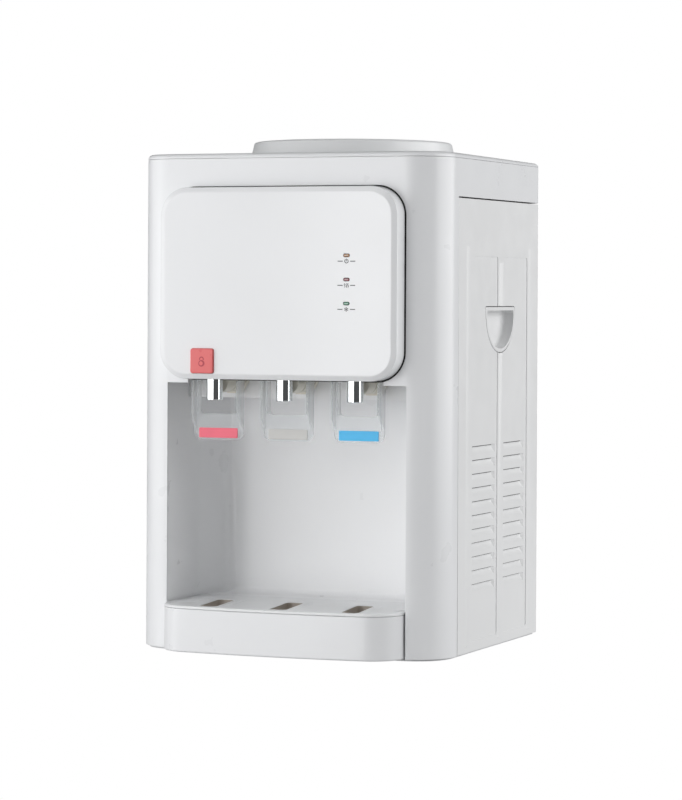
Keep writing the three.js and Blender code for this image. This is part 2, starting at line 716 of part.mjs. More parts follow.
/** A drain hole: long from front to back and leaning left, with round corners. */
function drainHoleOutline(x) {
  const { y, halfLong, halfWide, lean, corner } = DRAIN_HOLE;
  const across = corner / halfWide;
  const along = corner / halfLong;
  const at = (a, b) => [x + a * halfWide + lean * b * halfLong, y + b * halfLong];
  const shape = new THREE.Shape();
  shape.moveTo(...at(-1 + across, -1));
  shape.lineTo(...at(1 - across, -1));
  shape.quadraticCurveTo(...at(1, -1), ...at(1, -1 + along));
  shape.lineTo(...at(1, 1 - along));
  shape.quadraticCurveTo(...at(1, 1), ...at(1 - across, 1));
  shape.lineTo(...at(-1 + across, 1));
  shape.quadraticCurveTo(...at(-1, 1), ...at(-1, 1 - along));
  shape.lineTo(...at(-1, -1 + along));
  shape.quadraticCurveTo(...at(-1, -1), ...at(-1 + across, -1));
  return shape;
}

function dripGrille() {
  const plate = raise(trayPlan(0), TRAY_TOP + GAP, GRILLE_TOP, 5);
  const lip = cut(
    raise(trayPlan(TRAY_WALL + GAP), TRAY_TOP - 3, GRILLE_TOP - 1, 4),
    raise(trayPlan(TRAY_WALL + 1.8), TRAY_TOP - 4, TRAY_TOP + 1, 4),
  );
  const holes = [];
  for (const x of [-TAP_PITCH, 0, TAP_PITCH]) {
    holes.push(raise(drainHoleOutline(x), TRAY_TOP - 5, GRILLE_TOP + 1, 4));
    for (let row = -3; row <= 3; row += 1) {
      const y = DRAIN_HOLE.y + row * 10.5;
      const left = x + 14 + DRAIN_HOLE.lean * row * 10.5;
      holes.push(block(left, left + 4, y - 0.9, y + 0.9, TRAY_TOP - 5, GRILLE_TOP + 1));
    }
  }
  return cut(join(plate, lip), ...holes);
}

piece('drip_tray', dripTray(), 'glossWhite');
piece('drip_grille', dripGrille(), 'greyWhite');

// ---------------------------------------------------------------- bottle seat

function bottleCollar() {
  const foot = DECK_Z + GAP;
  return turn([
    [COLLAR_BASE, foot],
    [COLLAR_RIM, COLLAR_TOP - 1.5],
    [COLLAR_RIM - 2, COLLAR_TOP],
    [90, COLLAR_TOP],
    [86.5, DECK_Z - 12],
    [DECK_HOLE - 0.5, DECK_Z - 12],
    [DECK_HOLE - 0.5, foot],
  ], 0, SEAT_Y, 32);
}

function bottleFunnel() {
  return turn([
    [86, DECK_Z + 3],
    [84, DECK_Z + 3],
    [THROAT_RADIUS, 436],
    [THROAT_RADIUS, THROAT_BOTTOM + 2.4],
    [12, THROAT_BOTTOM + 2.4],
    [12, THROAT_BOTTOM],
    [THROAT_RADIUS + 2.4, THROAT_BOTTOM],
    [THROAT_RADIUS + 2.4, 434],
    [86, DECK_Z],
  ], 0, SEAT_Y, 24);
}

/** Hollow spike that opens the bottle cap's valve and leads water down and air up. */
function feedProbe() {
  const tube = turn([
    [6, 380],
    [8.5, 380],
    [8.5, THROAT_BOTTOM + 2.7],
    [20, THROAT_BOTTOM + 2.7],
    [20, THROAT_BOTTOM + 5],
    [9.5, THROAT_BOTTOM + 7],
    [8.5, 448],
    [5, 456],
    [0, 458],
    [0, 454],
    [6, 446],
  ], 0, SEAT_Y, 12);
  const windows = [0, Math.PI / 2].map((angle) => {
    const dx = 12 * Math.cos(angle);
    const dy = 12 * Math.sin(angle);
    return bar([-dx, SEAT_Y - dy, 436], [dx, SEAT_Y + dy, 436], 3, 6);
  });
  return cut(tube, ...windows);
}

piece('bottle_collar', bottleCollar(), 'greyWhite');
piece('bottle_funnel', bottleFunnel(), 'greyWhite');
piece('feed_probe', feedProbe(), 'satinWhite');

// ---------------------------------------------------------------- water system

/** A steel tank of the given outside, open at a port in its top. */
function tankShell(x, y, radius, bottom, top, port, skin = 1.2) {
  return turn([
    [0, bottom],
    [radius, bottom],
    [radius, top],
    [port, top],
    [port, top - skin],
    [radius - skin, top - skin],
    [radius - skin, bottom + skin],
    [0, bottom + skin],
  ], x, y, 20);
}

function coldTank() {
  const ports = [-1, 1].map((side) => (
    bar([side * 30, SEAT_Y - 30, TANK_BOTTOM - 2], [side * 30, SEAT_Y - 30, TANK_BOTTOM + 5], 4, 8)
  ));
  return cut(tankShell(0, SEAT_Y, TANK_RADIUS, TANK_BOTTOM, TANK_TOP, 20), ...ports);
}

function coldTankFoam() {
  const inner = TANK_RADIUS + GAP;
  const jacket = turn([
    [0, TANK_BOTTOM - FOAM],
    [inner + FOAM, TANK_BOTTOM - FOAM],
    [inner + FOAM, TANK_TOP - 6],
    [inner, TANK_TOP - 6],
    [inner, TANK_BOTTOM - GAP],
    [0, TANK_BOTTOM - GAP],
  ], 0, SEAT_Y, 20);
  const ports = [-1, 1].map((side) => (
    bar([side * 30, SEAT_Y - 30, TANK_BOTTOM - 12], [side * 30, SEAT_Y - 30, TANK_BOTTOM + 5], 5, 8)
  ));
  const coldPlate = block(-21, 21, SEAT_Y + 50, SEAT_Y + 80, FAN.z - 21, FAN.z + 21);
  return cut(jacket, coldPlate, ...ports);
}

/** Disc that keeps the room-temperature water above the chilled water. */
function tankBaffle() {
  return turn([
    [6, 350],
    [TANK_RADIUS - 2, 350],
    [TANK_RADIUS - 2, 352],
    [9, 352],
    [9, 362],
    [6, 362],
  ], 0, SEAT_Y, 16);
}

function hotTank() {
  const { x, y, radius, bottom, top } = HOT_TANK;
  const drain = bar([x, y, bottom - 2], [x, y, bottom + 4], 4, 10);
  return cut(tankShell(x, y, radius, bottom, top, 5), drain);
}

/** Sheet-steel stand that holds the hot tank over the base plate. */
function tankStand() {
  const { x, y, radius, bottom } = HOT_TANK;
  const deck = block(x - radius, x + radius, y - radius, y + radius, bottom - 2.3, bottom - GAP);
  const legs = [-1, 1].map((side) => {
    const outer = x + side * radius;
    const inner = x + side * (radius - 2);
    return block(Math.min(outer, inner), Math.max(outer, inner), y - 30, y + 30, GAP, bottom - 1);
  });
  return cut(join(deck, ...legs), bar([x, y, bottom - 5], [x, y, bottom + 5], 12, 12));
}

function heaterBand() {
  const { x, y, radius } = HOT_TANK;
  const band = turn([
    [radius + GAP, 140],
    [radius + 3.5, 140],
    [radius + 3.5, 172],
    [radius + GAP, 172],
  ], x, y, 20);
  return join(band, block(x - 4, x + 4, y - radius - 12, y - radius - 3, 150, 162));
}

function thermostat() {
  const { x, y, radius } = HOT_TANK;
  return join(
    bar([x + radius + GAP, y, 200], [x + radius + 6, y, 200], 8, 16),
    block(x + radius + 5, x + radius + 9, y - 5, y + 5, 196, 204),
  );
}

/** Cold block, thermoelectric plate and finned sink behind the cold tank. */
function heatSink() {
  const back = SEAT_Y + TANK_RADIUS;
  const plate = join(
    block(-20, 20, back + 1, back + 22, FAN.z - 20, FAN.z + 20),
    block(-FAN.half, FAN.half, back + 20, back + 25, FAN.z - 38, FAN.z + 38),
  );
  const fins = [];
  for (let index = 0; index < 9; index += 1) {
    const x = -36 + index * 9;
    fins.push(block(x - 1, x + 1, back + 24, FAN.y - 1, FAN.z - 38, FAN.z + 38));
  }
  return join(plate, ...fins);
}

function fanFrame() {
  const { z, half, y, deep } = FAN;
  const frame = cut(
    runBack(roundedRectangle(-half, half, z - half, z + half, 4), y, y + deep, 2),
    bar([0, y - 1, z], [0, y + deep + 1, z], 36, 20),
  );
  const spokes = [0, 1, 2].map((index) => {
    const angle = (index * Math.PI * 2) / 3 + Math.PI / 6;
    const back = y + deep - 1.5;
    return bar([0, back, z], [38 * Math.cos(angle), back, z + 38 * Math.sin(angle)], 1.4, 6);
  });
  return join(frame, ...spokes, bar([0, y + deep - 3, z], [0, y + deep, z], 12, 16));
}

function fanRotor() {
  const { z, y } = FAN;
  const blades = [];
  for (let index = 0; index < 7; index += 1) {
    const blade = block(8, 34, -0.9, 0.9, -7, 7).rotate([28, 0, 0]);
    blades.push(blade.rotate([0, (index * 360) / 7, 0]).translate([0, y + 4.4, z]));
  }
  return join(bar([0, y + 0.5, z], [0, y + 8.5, z], 13, 16), ...blades);
}

/** Silicone hose from a tap's shank up to a port. */
function hose(x, points) {
  return pipe([[x, TAP_INLET_Y, TAP_AXIS_Z], [x, TAP_INLET_Y + 12, TAP_AXIS_Z], ...points], 4.5);
}

function drainPipe() {
  const { x, y, bottom } = HOT_TANK;
  return pipe([
    [x, y, bottom - 1],
    [x, y, bottom - 14],
    [x, y + 14, DRAIN.z + 6],
    [x, y + 34, DRAIN.z],
    [x, DEPTH + 3, DRAIN.z],
  ], 5);
}

/** Screw cap on the drain outlet, with a ribbed grip. */
function drainCap() {
  const y0 = DEPTH + 0.3;
  return cut(
    bar([DRAIN.x, y0, DRAIN.z], [DRAIN.x, y0 + 12, DRAIN.z], 11, 20),
    bar([DRAIN.x, y0 - 1, DRAIN.z], [DRAIN.x, y0 + 9, DRAIN.z], 6, 12),
  );
}

piece('cold_tank', coldTank(), 'steel');
piece('cold_tank_foam', coldTankFoam(), 'foam');
piece('tank_baffle', tankBaffle(), 'satinWhite');
piece('hot_tank', hotTank(), 'steel');
piece('tank_stand', tankStand(), 'paintedSteel');
piece('heater_band', heaterBand(), 'aluminium');
piece('thermostat', thermostat(), 'black');
piece('heat_sink', heatSink(), 'aluminium');
piece('fan_frame', fanFrame(), 'black');
piece('fan_rotor', fanRotor(), 'black');
const hotHoseRoute = [[-80, 130, 256], [-100, 150, 250], [-80, 200, 245], [-75, 205, 229]];
piece('hot_hose', hose(-TAP_PITCH, hotHoseRoute), 'silicone');
piece('normal_hose', hose(0, [[-10, 105, 262], [-28, 132, 276], [-30, SEAT_Y - 30, 294]]), 'silicone');
piece('cold_hose', hose(TAP_PITCH, [[60, 105, 258], [34, 132, 274], [30, SEAT_Y - 30, 294]]), 'silicone');
piece('drain_pipe', drainPipe(), 'silicone');
piece('drain_cap', drainCap(), 'satinWhite');

// ---------------------------------------------------------------- electrics

/** Rocker that stands proud of the rear panel, tipped on a pin along X. */
function rockerSwitch(x) {
  const y0 = REAR_INNER_Y;
  const w = SWITCH.halfWide;
  const h = SWITCH.halfTall;
  const profile = polygon([
    [y0 - 3, SWITCH.z - h + 2.5],
    [y0 + 2.2, SWITCH.z - h + 1],
    [y0 + 3.2, SWITCH.z],
    [y0 + 2.2, SWITCH.z + h - 1],
    [y0 - 3, SWITCH.z + h - 2.5],
  ]);
  const rocker = runAcross(profile, x - w + 0.3, x + w - 0.3);
  return rocker
    .translate([0, -y0, -SWITCH.z])
    .rotate([-SWITCH_TILT, 0, 0])
    .translate([0, y0, SWITCH.z]);
}

function powerBoard() {
  const board = block(60, 132, 246, 248, 60, 150);
  return join(
    board,
    block(70, 92, 224, 247, 112, 140),
    block(100, 124, 232, 247, 106, 132),
    bar([80, 247, 84], [80, 226, 84], 9, 14),
    block(104, 126, 234, 247, 68, 92),
  );
}

function cordGland() {
  const y0 = REAR_INNER_Y;
  return cut(
    join(
      bar([100, y0 - 8, 40], [100, y0 + 2.4, 40], 7, 16),
      bar([100, y0 + 1.6 + GAP, 40], [100, y0 + 4.4, 40], 10.5, 20),
      bar([100, y0 - 4, 40], [100, y0 - GAP, 40], 10, 16),
    ),
    bar([100, y0 - 9, 40], [100, y0 + 6, 40], 3.6, 12),
  );
}

piece('heating_switch', rockerSwitch(SWITCH_X.heating), 'red');
piece('cooling_switch', rockerSwitch(SWITCH_X.cooling), 'black');
piece('power_board', powerBoard(), 'circuitBoard');
piece('cord_gland', cordGland(), 'black');

// ---------------------------------------------------------------- place the origin

const box = new THREE.Box3().setFromObject(model);
const middle = box.getCenter(new THREE.Vector3());
model.position.set(-middle.x, -middle.y, -box.min.z);

const group = new THREE.Group();
group.add(model);

export default group;
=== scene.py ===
"""Looks of the countertop water dispenser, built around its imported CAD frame.

Lengths are millimetres in the casing's own frame: X to the right, Y from the front plane to the
back, Z up from the casing's bottom. finish_piece() turns them into the row frame's metres.
"""

import math

import bmesh
import bpy
from mathutils import Matrix, Vector


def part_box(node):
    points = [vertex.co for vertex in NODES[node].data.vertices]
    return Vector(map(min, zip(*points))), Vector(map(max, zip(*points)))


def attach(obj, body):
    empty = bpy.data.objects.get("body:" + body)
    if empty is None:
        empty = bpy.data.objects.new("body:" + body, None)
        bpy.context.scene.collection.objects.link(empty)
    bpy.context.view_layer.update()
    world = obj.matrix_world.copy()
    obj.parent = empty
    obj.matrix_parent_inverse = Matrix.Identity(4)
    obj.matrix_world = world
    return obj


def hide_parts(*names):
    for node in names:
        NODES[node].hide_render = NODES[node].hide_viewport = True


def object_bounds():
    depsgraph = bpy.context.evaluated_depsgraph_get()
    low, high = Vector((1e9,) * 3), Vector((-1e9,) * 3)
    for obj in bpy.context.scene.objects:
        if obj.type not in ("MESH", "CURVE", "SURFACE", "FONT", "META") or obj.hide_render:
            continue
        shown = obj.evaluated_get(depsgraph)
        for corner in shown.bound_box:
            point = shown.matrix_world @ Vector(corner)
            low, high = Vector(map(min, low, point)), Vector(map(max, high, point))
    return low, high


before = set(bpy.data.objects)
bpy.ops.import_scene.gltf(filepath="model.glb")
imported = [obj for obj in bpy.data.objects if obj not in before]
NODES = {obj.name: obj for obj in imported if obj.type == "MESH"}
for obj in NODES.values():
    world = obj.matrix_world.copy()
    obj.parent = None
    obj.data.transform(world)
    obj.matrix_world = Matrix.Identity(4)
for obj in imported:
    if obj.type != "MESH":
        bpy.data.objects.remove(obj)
cad_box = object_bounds()

MM = 0.001
GAP = 0.3
FRONT_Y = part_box("front_housing")[0].y
CASING_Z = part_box("front_housing")[0].z - GAP * MM
FLOOR_Z = cad_box[0][2]
INTO_ROW = Matrix.Translation((0, FRONT_Y, CASING_Z)) @ Matrix.Scale(MM, 4)


def span(node, axis):
    """Lowest and highest X, Y or Z of a CAD node, in the casing's frame."""
    index = "xyz".index(axis)
    origin = (0, FRONT_Y, CASING_Z)[index]
    low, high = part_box(node)
    return (low[index] - origin) / MM, (high[index] - origin) / MM


# ---------------------------------------------------------------- driving dimensions

HALF_WIDTH = span("front_housing", "x")[1]
DEPTH = span("top_cover", "y")[1]
WALL = 3
FRONT_CORNER = 38
REAR_CORNER = 17
SEAM_Y = span("front_housing", "y")[1]
RIM_Z = span("front_housing", "z")[1]
DECK_Z = span("top_cover", "z")[1]
SIDE_TOP_Z = span("right_side_panel", "z")[1]
SKIRT_Z = SIDE_TOP_Z + 1.2

BAY_HALF = 121
BAY_TOP = 250
BAY_BACK = 119
SHELF_Z = 43
MOUNT_WALL_Y = 50
MOUNT_WALL_Z = 235
TAP_CUTOUT_HALF = 98.5
TAP_CUTOUT_TOP = 294

PANEL_HALF = span("control_panel", "x")[1]
PANEL_BOTTOM, PANEL_TOP = span("control_panel", "z")
PANEL_FACE_Y = span("control_panel", "y")[0]
PANEL_CORNER = 27
PANEL_BEVEL_IN = 5
PANEL_BEVEL_DEEP = 2.4
PANEL_WALL = 2.5

TAP_X = {"hot": -71, "normal": 0, "cold": 71}
TAP_AXIS_Z = 251.5
PIVOT_Y = -8
PIVOT_Z = 281
LEVER_HALF = 25
LEVER_BOTTOM = 196.5
LEVER_FACE_Y = 9.5
LEVER_PLATE = 2.6
LEVER_TOP_EDGE = 252

TRAY_HALF = span("drip_tray", "x")[1]
TRAY_FRONT = span("drip_tray", "y")[0]
TRAY_REAR = span("drip_tray", "y")[1]
TRAY_TOP = span("drip_tray", "z")[1]
TRAY_CORNER = 32
TRAY_BOW_RADIUS = 787
GRILLE_TOP = span("drip_grille", "z")[1]

SEAT_Y = 167.5
COLLAR_TOP = span("bottle_collar", "z")[1]

POCKET_Y = 163
POCKET_TOP = 323
POCKET_HALF = 42
POCKET_TALL = 45

# ---------------------------------------------------------------- outlines


def arc(a, b, radius, start, end, steps):
    """Points on a circle round a, b from one angle to the other, in degrees, both ends included."""
    angles = [math.radians(start + (end - start) * k / steps) for k in range(steps + 1)]
    return [(a + radius * math.cos(t), b + radius * math.sin(t)) for t in angles]


def rounded_rectangle(a0, a1, b0, b1, radii, steps=10):
    """A rectangle with one radius or four: low-low, high-low, high-high, low-high."""
    r0, r1, r2, r3 = radii if isinstance(radii, (list, tuple)) else [radii] * 4
    return (
        arc(a0 + r0, b0 + r0, r0, 180, 270, steps)
        + arc(a1 - r1, b0 + r1, r1, 270, 360, steps)
        + arc(a1 - r2, b1 - r2, r2, 0, 90, steps)
        + arc(a0 + r3, b1 - r3, r3, 90, 180, steps)
    )


def casing_plan(inset, steps=16):
    half = HALF_WIDTH - inset
    front = FRONT_CORNER - inset
    rear = max(REAR_CORNER - inset, 0.5)
    return rounded_rectangle(-half, half, inset, DEPTH - inset, (front, front, rear, rear), steps)


def tray_plan(inset, steps=12):
    """The drip tray from above: bowed front, round front corners, straight sides."""
    half = TRAY_HALF - inset
    corner = TRAY_CORNER - inset
    bow = TRAY_BOW_RADIUS - inset
    centre_y = TRAY_FRONT + TRAY_BOW_RADIUS
    corner_x = half - corner
    corner_y = centre_y - math.sqrt((bow - corner) ** 2 - corner_x**2)
    lean = math.degrees(math.asin(corner_x / (bow - corner)))
    rear = TRAY_REAR - inset
    rear_corner = 4
    return (
        arc(-corner_x, corner_y, corner, 180, 270 - lean, steps)
        + arc(0, centre_y, bow, 270 - lean, 270 + lean, 24)[1:-1]
        + arc(corner_x, corner_y, corner, 270 + lean, 360, steps)
        + arc(half - rear_corner, rear - rear_corner, rear_corner, 0, 90, 4)
        + arc(-half + rear_corner, rear - rear_corner, rear_corner, 90, 180, 4)
    )


def pocket_outline(inset, steps=28):
    """The finger pocket from the side: flat top, half an ellipse below."""
    straight = 5
    half = POCKET_HALF - inset
    tall = POCKET_TALL - straight - 2 * inset
    spring = POCKET_TOP - straight - inset
    corner = 2
    points = [(POCKET_Y - half, spring)]
    for k in range(1, steps):
        t = math.pi * (1 + k / steps)
        points.append((POCKET_Y + half * math.cos(t), spring + tall * math.sin(t)))
    points.append((POCKET_Y + half, spring))
    top = POCKET_TOP - inset
    points += arc(POCKET_Y + half - corner, top - corner, corner, 0, 90, 3)
    points += arc(POCKET_Y - half + corner, top - corner, corner, 90, 180, 3)
    return points


# ---------------------------------------------------------------- mesh building


def upright(a, b, t):
    """Outline seen from above, run along Z."""
    return (a, b, t)


def facing(a, b, t):
    """Outline seen from the front, run along Y."""
    return (a, t, b)


def sideways(a, b, t):
    """Outline in Y and Z, run along X."""
    return (t, a, b)


def loft(rings, ends=True, around=True):
    """Skin over rings of points that all have the same number."""
    bm = bmesh.new()
    rows = [[bm.verts.new(point) for point in ring] for ring in rings]
    count = len(rows[0])
    last = count if around else count - 1
    for low, high in zip(rows, rows[1:]):
        for i in range(last):
            j = (i + 1) % count
            bm.faces.new((low[i], low[j], high[j], high[i]))
    if ends:
        bm.faces.new(rows[0][::-1])
        bm.faces.new(rows[-1])
    bmesh.ops.recalc_face_normals(bm, faces=bm.faces)
    return bm


def prism(outline, start, end, place=upright):
    return loft([[place(a, b, t) for a, b in outline] for t in (start, end)])


def pillow(outline_at, start, end, place=upright, round_start=0.0, round_end=0.0, steps=5):
    """A prism whose start and end edges are rounded over. outline_at(inset) gives its outline."""
    rings = []
    forward = math.copysign(1, end - start)
    if round_start:
        for k in range(steps):
            turn_by = math.pi / 2 * k / steps
            inset = round_start * (1 - math.sin(turn_by))
            rings.append((inset, start + forward * round_start * (1 - math.cos(turn_by))))
    rings.append((0, start + forward * round_start))
    rings.append((0, end - forward * round_end))
    if round_end:
        for k in range(steps - 1, -1, -1):
            turn_by = math.pi / 2 * k / steps
            inset = round_end * (1 - math.sin(turn_by))
            rings.append((inset, end - forward * round_end * (1 - math.cos(turn_by))))
    return loft([[place(a, b, t) for a, b in outline_at(inset)] for inset, t in rings])


def lathe(profile, x=0.0, y=0.0, segments=72, axis="z"):
    """A closed profile of radius and height, turned about an upright line or about a line along Y."""
    bm = bmesh.new()
    rows = []
    for radius, height in profile:
        if radius < 1e-6:
            point = (x, y, height) if axis == "z" else (x, height, y)
            rows.append([bm.verts.new(point)])
            continue
        row = []
        for k in range(segments):
            t = 2 * math.pi * k / segments
            a, b = x + radius * math.cos(t), y + radius * math.sin(t)
            row.append(bm.verts.new((a, b, height) if axis == "z" else (a, height, b)))
        rows.append(row)
    pairs = list(zip(rows, rows[1:] + rows[:1]))
    for low, high in pairs:
        if len(low) == 1 and len(high) == 1:
            continue
        for k in range(segments):
            j = (k + 1) % segments
            if len(low) == 1:
                bm.faces.new((low[0], high[j], high[k]))
            elif len(high) == 1:
                bm.faces.new((low[k], low[j], high[0]))
            else:
                bm.faces.new((low[k], low[j], high[j], high[k]))
    bmesh.ops.recalc_face_normals(bm, faces=bm.faces)
    return bm


def block(x0, x1, y0, y1, z0, z1):
    return prism([(x0, y0), (x1, y0), (x1, y1), (x0, y1)], z0, z1)


def bar(start, end, radius, segments=32):
    """A round bar between two points."""
    start, end = Vector(start), Vector(end)
    along = end - start
    bm = bmesh.new()
    bmesh.ops.create_cone(
        bm,
        cap_ends=True,
        segments=segments,
        radius1=radius,
        radius2=radius,
        depth=along.length,
        matrix=Matrix.Translation((start + end) / 2) @ along.to_track_quat("Z", "Y").to_matrix().to_4x4(),
    )
    return bm


def scratch_object(bm):
    mesh = bpy.data.meshes.new("scratch")
    bm.to_mesh(mesh)
    bm.free()
    made = bpy.data.objects.new("scratch", mesh)
    bpy.context.scene.collection.objects.link(made)
    return made


def combine(first, others, operation):
    """Boolean of bmeshes through the modifier; the inputs are used up."""
    base = scratch_object(first)
    tools = [scratch_object(other) for other in others]
    for tool in tools:
        modifier = base.modifiers.new("combine", "BOOLEAN")
        modifier.object = tool
        modifier.operation = operation
        modifier.solver = "MANIFOLD"
    evaluated = base.evaluated_get(bpy.context.evaluated_depsgraph_get())
    result = bmesh.new()
    result.from_mesh(evaluated.to_mesh())
    evaluated.to_mesh_clear()
    for made in [base, *tools]:
        mesh = made.data
        bpy.data.objects.remove(made)
        bpy.data.meshes.remove(mesh)
    bmesh.ops.remove_doubles(result, verts=result.verts, dist=1e-3)
    bmesh.ops.dissolve_degenerate(result, edges=result.edges, dist=1e-3)
    return result


def cut(first, *others):
    return combine(first, others, "DIFFERENCE")


def join(first, *others):
    return combine(first, others, "UNION")


def together(*parts):
    """Separate shells kept in one mesh."""
    result = bmesh.new()
    for part in parts:
        mesh = bpy.data.meshes.new("scratch")
        part.to_mesh(mesh)
        part.free()
        result.from_mesh(mesh)
        bpy.data.meshes.remove(mesh)
    return result


def soften(bm, width, angle=35, segments=3):
    """Rounds the edges that are sharper than the angle, in degrees."""
    sharp = math.radians(angle)
    bmesh.ops.dissolve_limit(bm, angle_limit=math.radians(0.3), verts=bm.verts, edges=bm.edges)
    edges = [edge for edge in bm.edges if len(edge.link_faces) == 2 and edge.calc_face_angle(0) >= sharp]
    bmesh.ops.bevel(
        bm,
        geom=edges,
        offset=width,
        offset_type="OFFSET",
        segments=segments,
        profile=0.5,
        affect="EDGES",
        clamp_overlap=True,
    )
    return bm


def mirrored(bm):
    bmesh.ops.transform(bm, matrix=Matrix.Scale(-1, 4, (1, 0, 0)), verts=bm.verts)
    bmesh.ops.reverse_faces(bm, faces=bm.faces)
    return bm


def finish_piece(name, bm, material, body="cabinet", replaces=(), crease=38):
    """Turns a bmesh into a named piece in the row frame that rides on a body."""
    bmesh.ops.transform(bm, matrix=INTO_ROW, verts=bm.verts)
    mesh = bpy.data.meshes.new(name)
    bm.to_mesh(mesh)
    bm.free()
    mesh.shade_smooth()
    mesh.set_sharp_from_angle(angle=math.radians(crease))
    mesh.materials.append(material)
    piece = bpy.data.objects.new(name, mesh)
    bpy.context.scene.collection.objects.link(piece)
    modifier = piece.modifiers.new("even_shading", "WEIGHTED_NORMAL")
    modifier.keep_sharp = True
    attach(piece, body)
    if replaces:
        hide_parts(*replaces)
    return piece


# ---------------------------------------------------------------- materials


class Look:
    """A Principled material with small helpers for procedural detail."""

    def __init__(self, name, color, roughness, metallic=0.0, **sockets):
        self.material = bpy.data.materials.new(name)
        self.material.use_nodes = True
        self.tree = self.material.node_tree
        self.shader = self.tree.nodes["Principled BSDF"]
        self.shader.inputs["Base Color"].default_value = (*color, 1)
        self.shader.inputs["Roughness"].default_value = roughness
        self.shader.inputs["Metallic"].default_value = metallic
        for socket, value in sockets.items():
            self.shader.inputs[socket.replace("_", " ")].default_value = value
        self.color = color
        self.roughness = roughness
        self.coordinates = self.tree.nodes.new("ShaderNodeTexCoord")
        self.bump = None

    def noise(self, scale, detail=3.0, stretch=None):
        noise = self.tree.nodes.new("ShaderNodeTexNoise")
        noise.inputs["Scale"].default_value = scale
        noise.inputs["Detail"].default_value = detail
        source = self.coordinates.outputs["Object"]
        if stretch:
            mapping = self.tree.nodes.new("ShaderNodeMapping")
            mapping.inputs["Scale"].default_value = stretch
            self.tree.links.new(source, mapping.inputs["Vector"])
            source = mapping.outputs["Vector"]
        self.tree.links.new(source, noise.inputs["Vector"])
        return noise.outputs["Fac"]

    def remap(self, value, low, high, start=0.3, end=0.7):
        node = self.tree.nodes.new("ShaderNodeMapRange")
        node.inputs["From Min"].default_value = start
        node.inputs["From Max"].default_value = end
        node.inputs["To Min"].default_value = low
        node.inputs["To Max"].default_value = high
        self.tree.links.new(value, node.inputs["Value"])
        return node.outputs["Result"]

    def tint(self, other, scale, stretch=None):
        """Blends the colour softly towards another in large patches."""
        ramp = self.tree.nodes.new("ShaderNodeValToRGB")
        ramp.color_ramp.elements[0].position = 0.35
        ramp.color_ramp.elements[0].color = (*self.color, 1)
        ramp.color_ramp.elements[1].position = 0.7
        ramp.color_ramp.elements[1].color = (*other, 1)
        self.tree.links.new(self.noise(scale, 2.0, stretch), ramp.inputs["Fac"])
        self.tree.links.new(ramp.outputs["Color"], self.shader.inputs["Base Color"])
        return self

    def vary_roughness(self, spread, scale, stretch=None):
        value = self.remap(
            self.noise(scale, 4.0, stretch),
            self.roughness - spread, self.roughness + spread,
        )
        self.tree.links.new(value, self.shader.inputs["Roughness"])
        return self

    def relief(self, height, strength, distance):
        """Adds a bump layer on top of those already there."""
        bump = self.tree.nodes.new("ShaderNodeBump")
        bump.inputs["Strength"].default_value = strength
        bump.inputs["Distance"].default_value = distance
        self.tree.links.new(height, bump.inputs["Height"])
        if self.bump:
            self.tree.links.new(self.bump.outputs["Normal"], bump.inputs["Normal"])
        self.tree.links.new(bump.outputs["Normal"], self.shader.inputs["Normal"])
        self.bump = bump
        return self

    def grain(self, scale, strength, distance=0.0002, stretch=None):
        return self.relief(self.noise(scale, 3.0, stretch), strength, distance)


def moulded_gloss(name, color, roughness=0.2):
    """Polished injection moulding: faint orange peel, faint flow tint, uneven gloss."""
    look = Look(name, color, roughness, Specular_IOR_Level=0.5)
    look.tint(tuple(c * 0.985 for c in color), 7)
    look.vary_roughness(0.03, 30)
    look.grain(160, 0.03, 0.0004)
    look.grain(2600, 0.02, 0.0001)
    return look.material


def moulded_satin(name, color, roughness=0.38, grain=0.12):
    """Spark-eroded moulding: fine grain that breaks up the highlights."""
    look = Look(name, color, roughness)
    look.tint(tuple(c * 0.975 for c in color), 9)
    look.vary_roughness(0.05, 60)
    look.grain(2200, grain, 0.00015)
    return look.material


def brushed_metal(name, color, roughness, stretch):
    look = Look(name, color, roughness, 1.0)
    look.tint(tuple(c * 0.9 for c in color), 40, stretch)
    look.vary_roughness(0.08, 300, stretch)
    look.grain(900, 0.08, 0.0001, stretch)
    return look.material


def clear_look():
    """Clear moulding: see-through where it faces the eye; towards its edges it turns to glossy white plastic,
    a painted reflection for the bright edges of clear plastic.
    """
    look = Look("clear_polystyrene", (0.92, 0.93, 0.94), 0.06)
    look.vary_roughness(0.02, 120)
    look.grain(90, 0.03, 0.0004)
    tree = look.tree
    through = tree.nodes.new("ShaderNodeBsdfTransparent")
    through.inputs["Color"].default_value = (0.965, 0.975, 0.98, 1)
    edge = tree.nodes.new("ShaderNodeLayerWeight")
    edge.inputs["Blend"].default_value = 0.35
    share = tree.nodes.new("ShaderNodeMapRange")
    share.inputs["To Min"].default_value = 0.12
    share.inputs["To Max"].default_value = 0.85
    tree.links.new(edge.outputs["Facing"], share.inputs["Value"])
    blend = tree.nodes.new("ShaderNodeMixShader")
    tree.links.new(share.outputs["Result"], blend.inputs["Fac"])
    tree.links.new(through.outputs["BSDF"], blend.inputs[1])
    tree.links.new(look.shader.outputs["BSDF"], blend.inputs[2])
    tree.links.new(blend.outputs["Shader"], tree.nodes["Material Output"].inputs["Surface"])
    return look.material


def chrome_look():
    look = Look("chrome_plate", (0.86, 0.88, 0.89), 0.045, 1.0)
    look.vary_roughness(0.02, 220)
    look.grain(500, 0.015, 0.0001)
    return look.material


def lens_look(name, color):
    look = Look(name, color, 0.12, Coat_Weight=0.8, Coat_Roughness=0.05)
    look.tint(tuple(c * 1.9 for c in color), 400)
    look.grain(1500, 0.05, 0.0001)
    return look.material


def board_look():
    look = Look("circuit_board_green", (0.02, 0.16, 0.07), 0.35, Coat_Weight=0.4)
    look.tint((0.05, 0.27, 0.12), 260, (1, 6, 1))
    look.grain(700, 0.2, 0.0002)
    return look.material


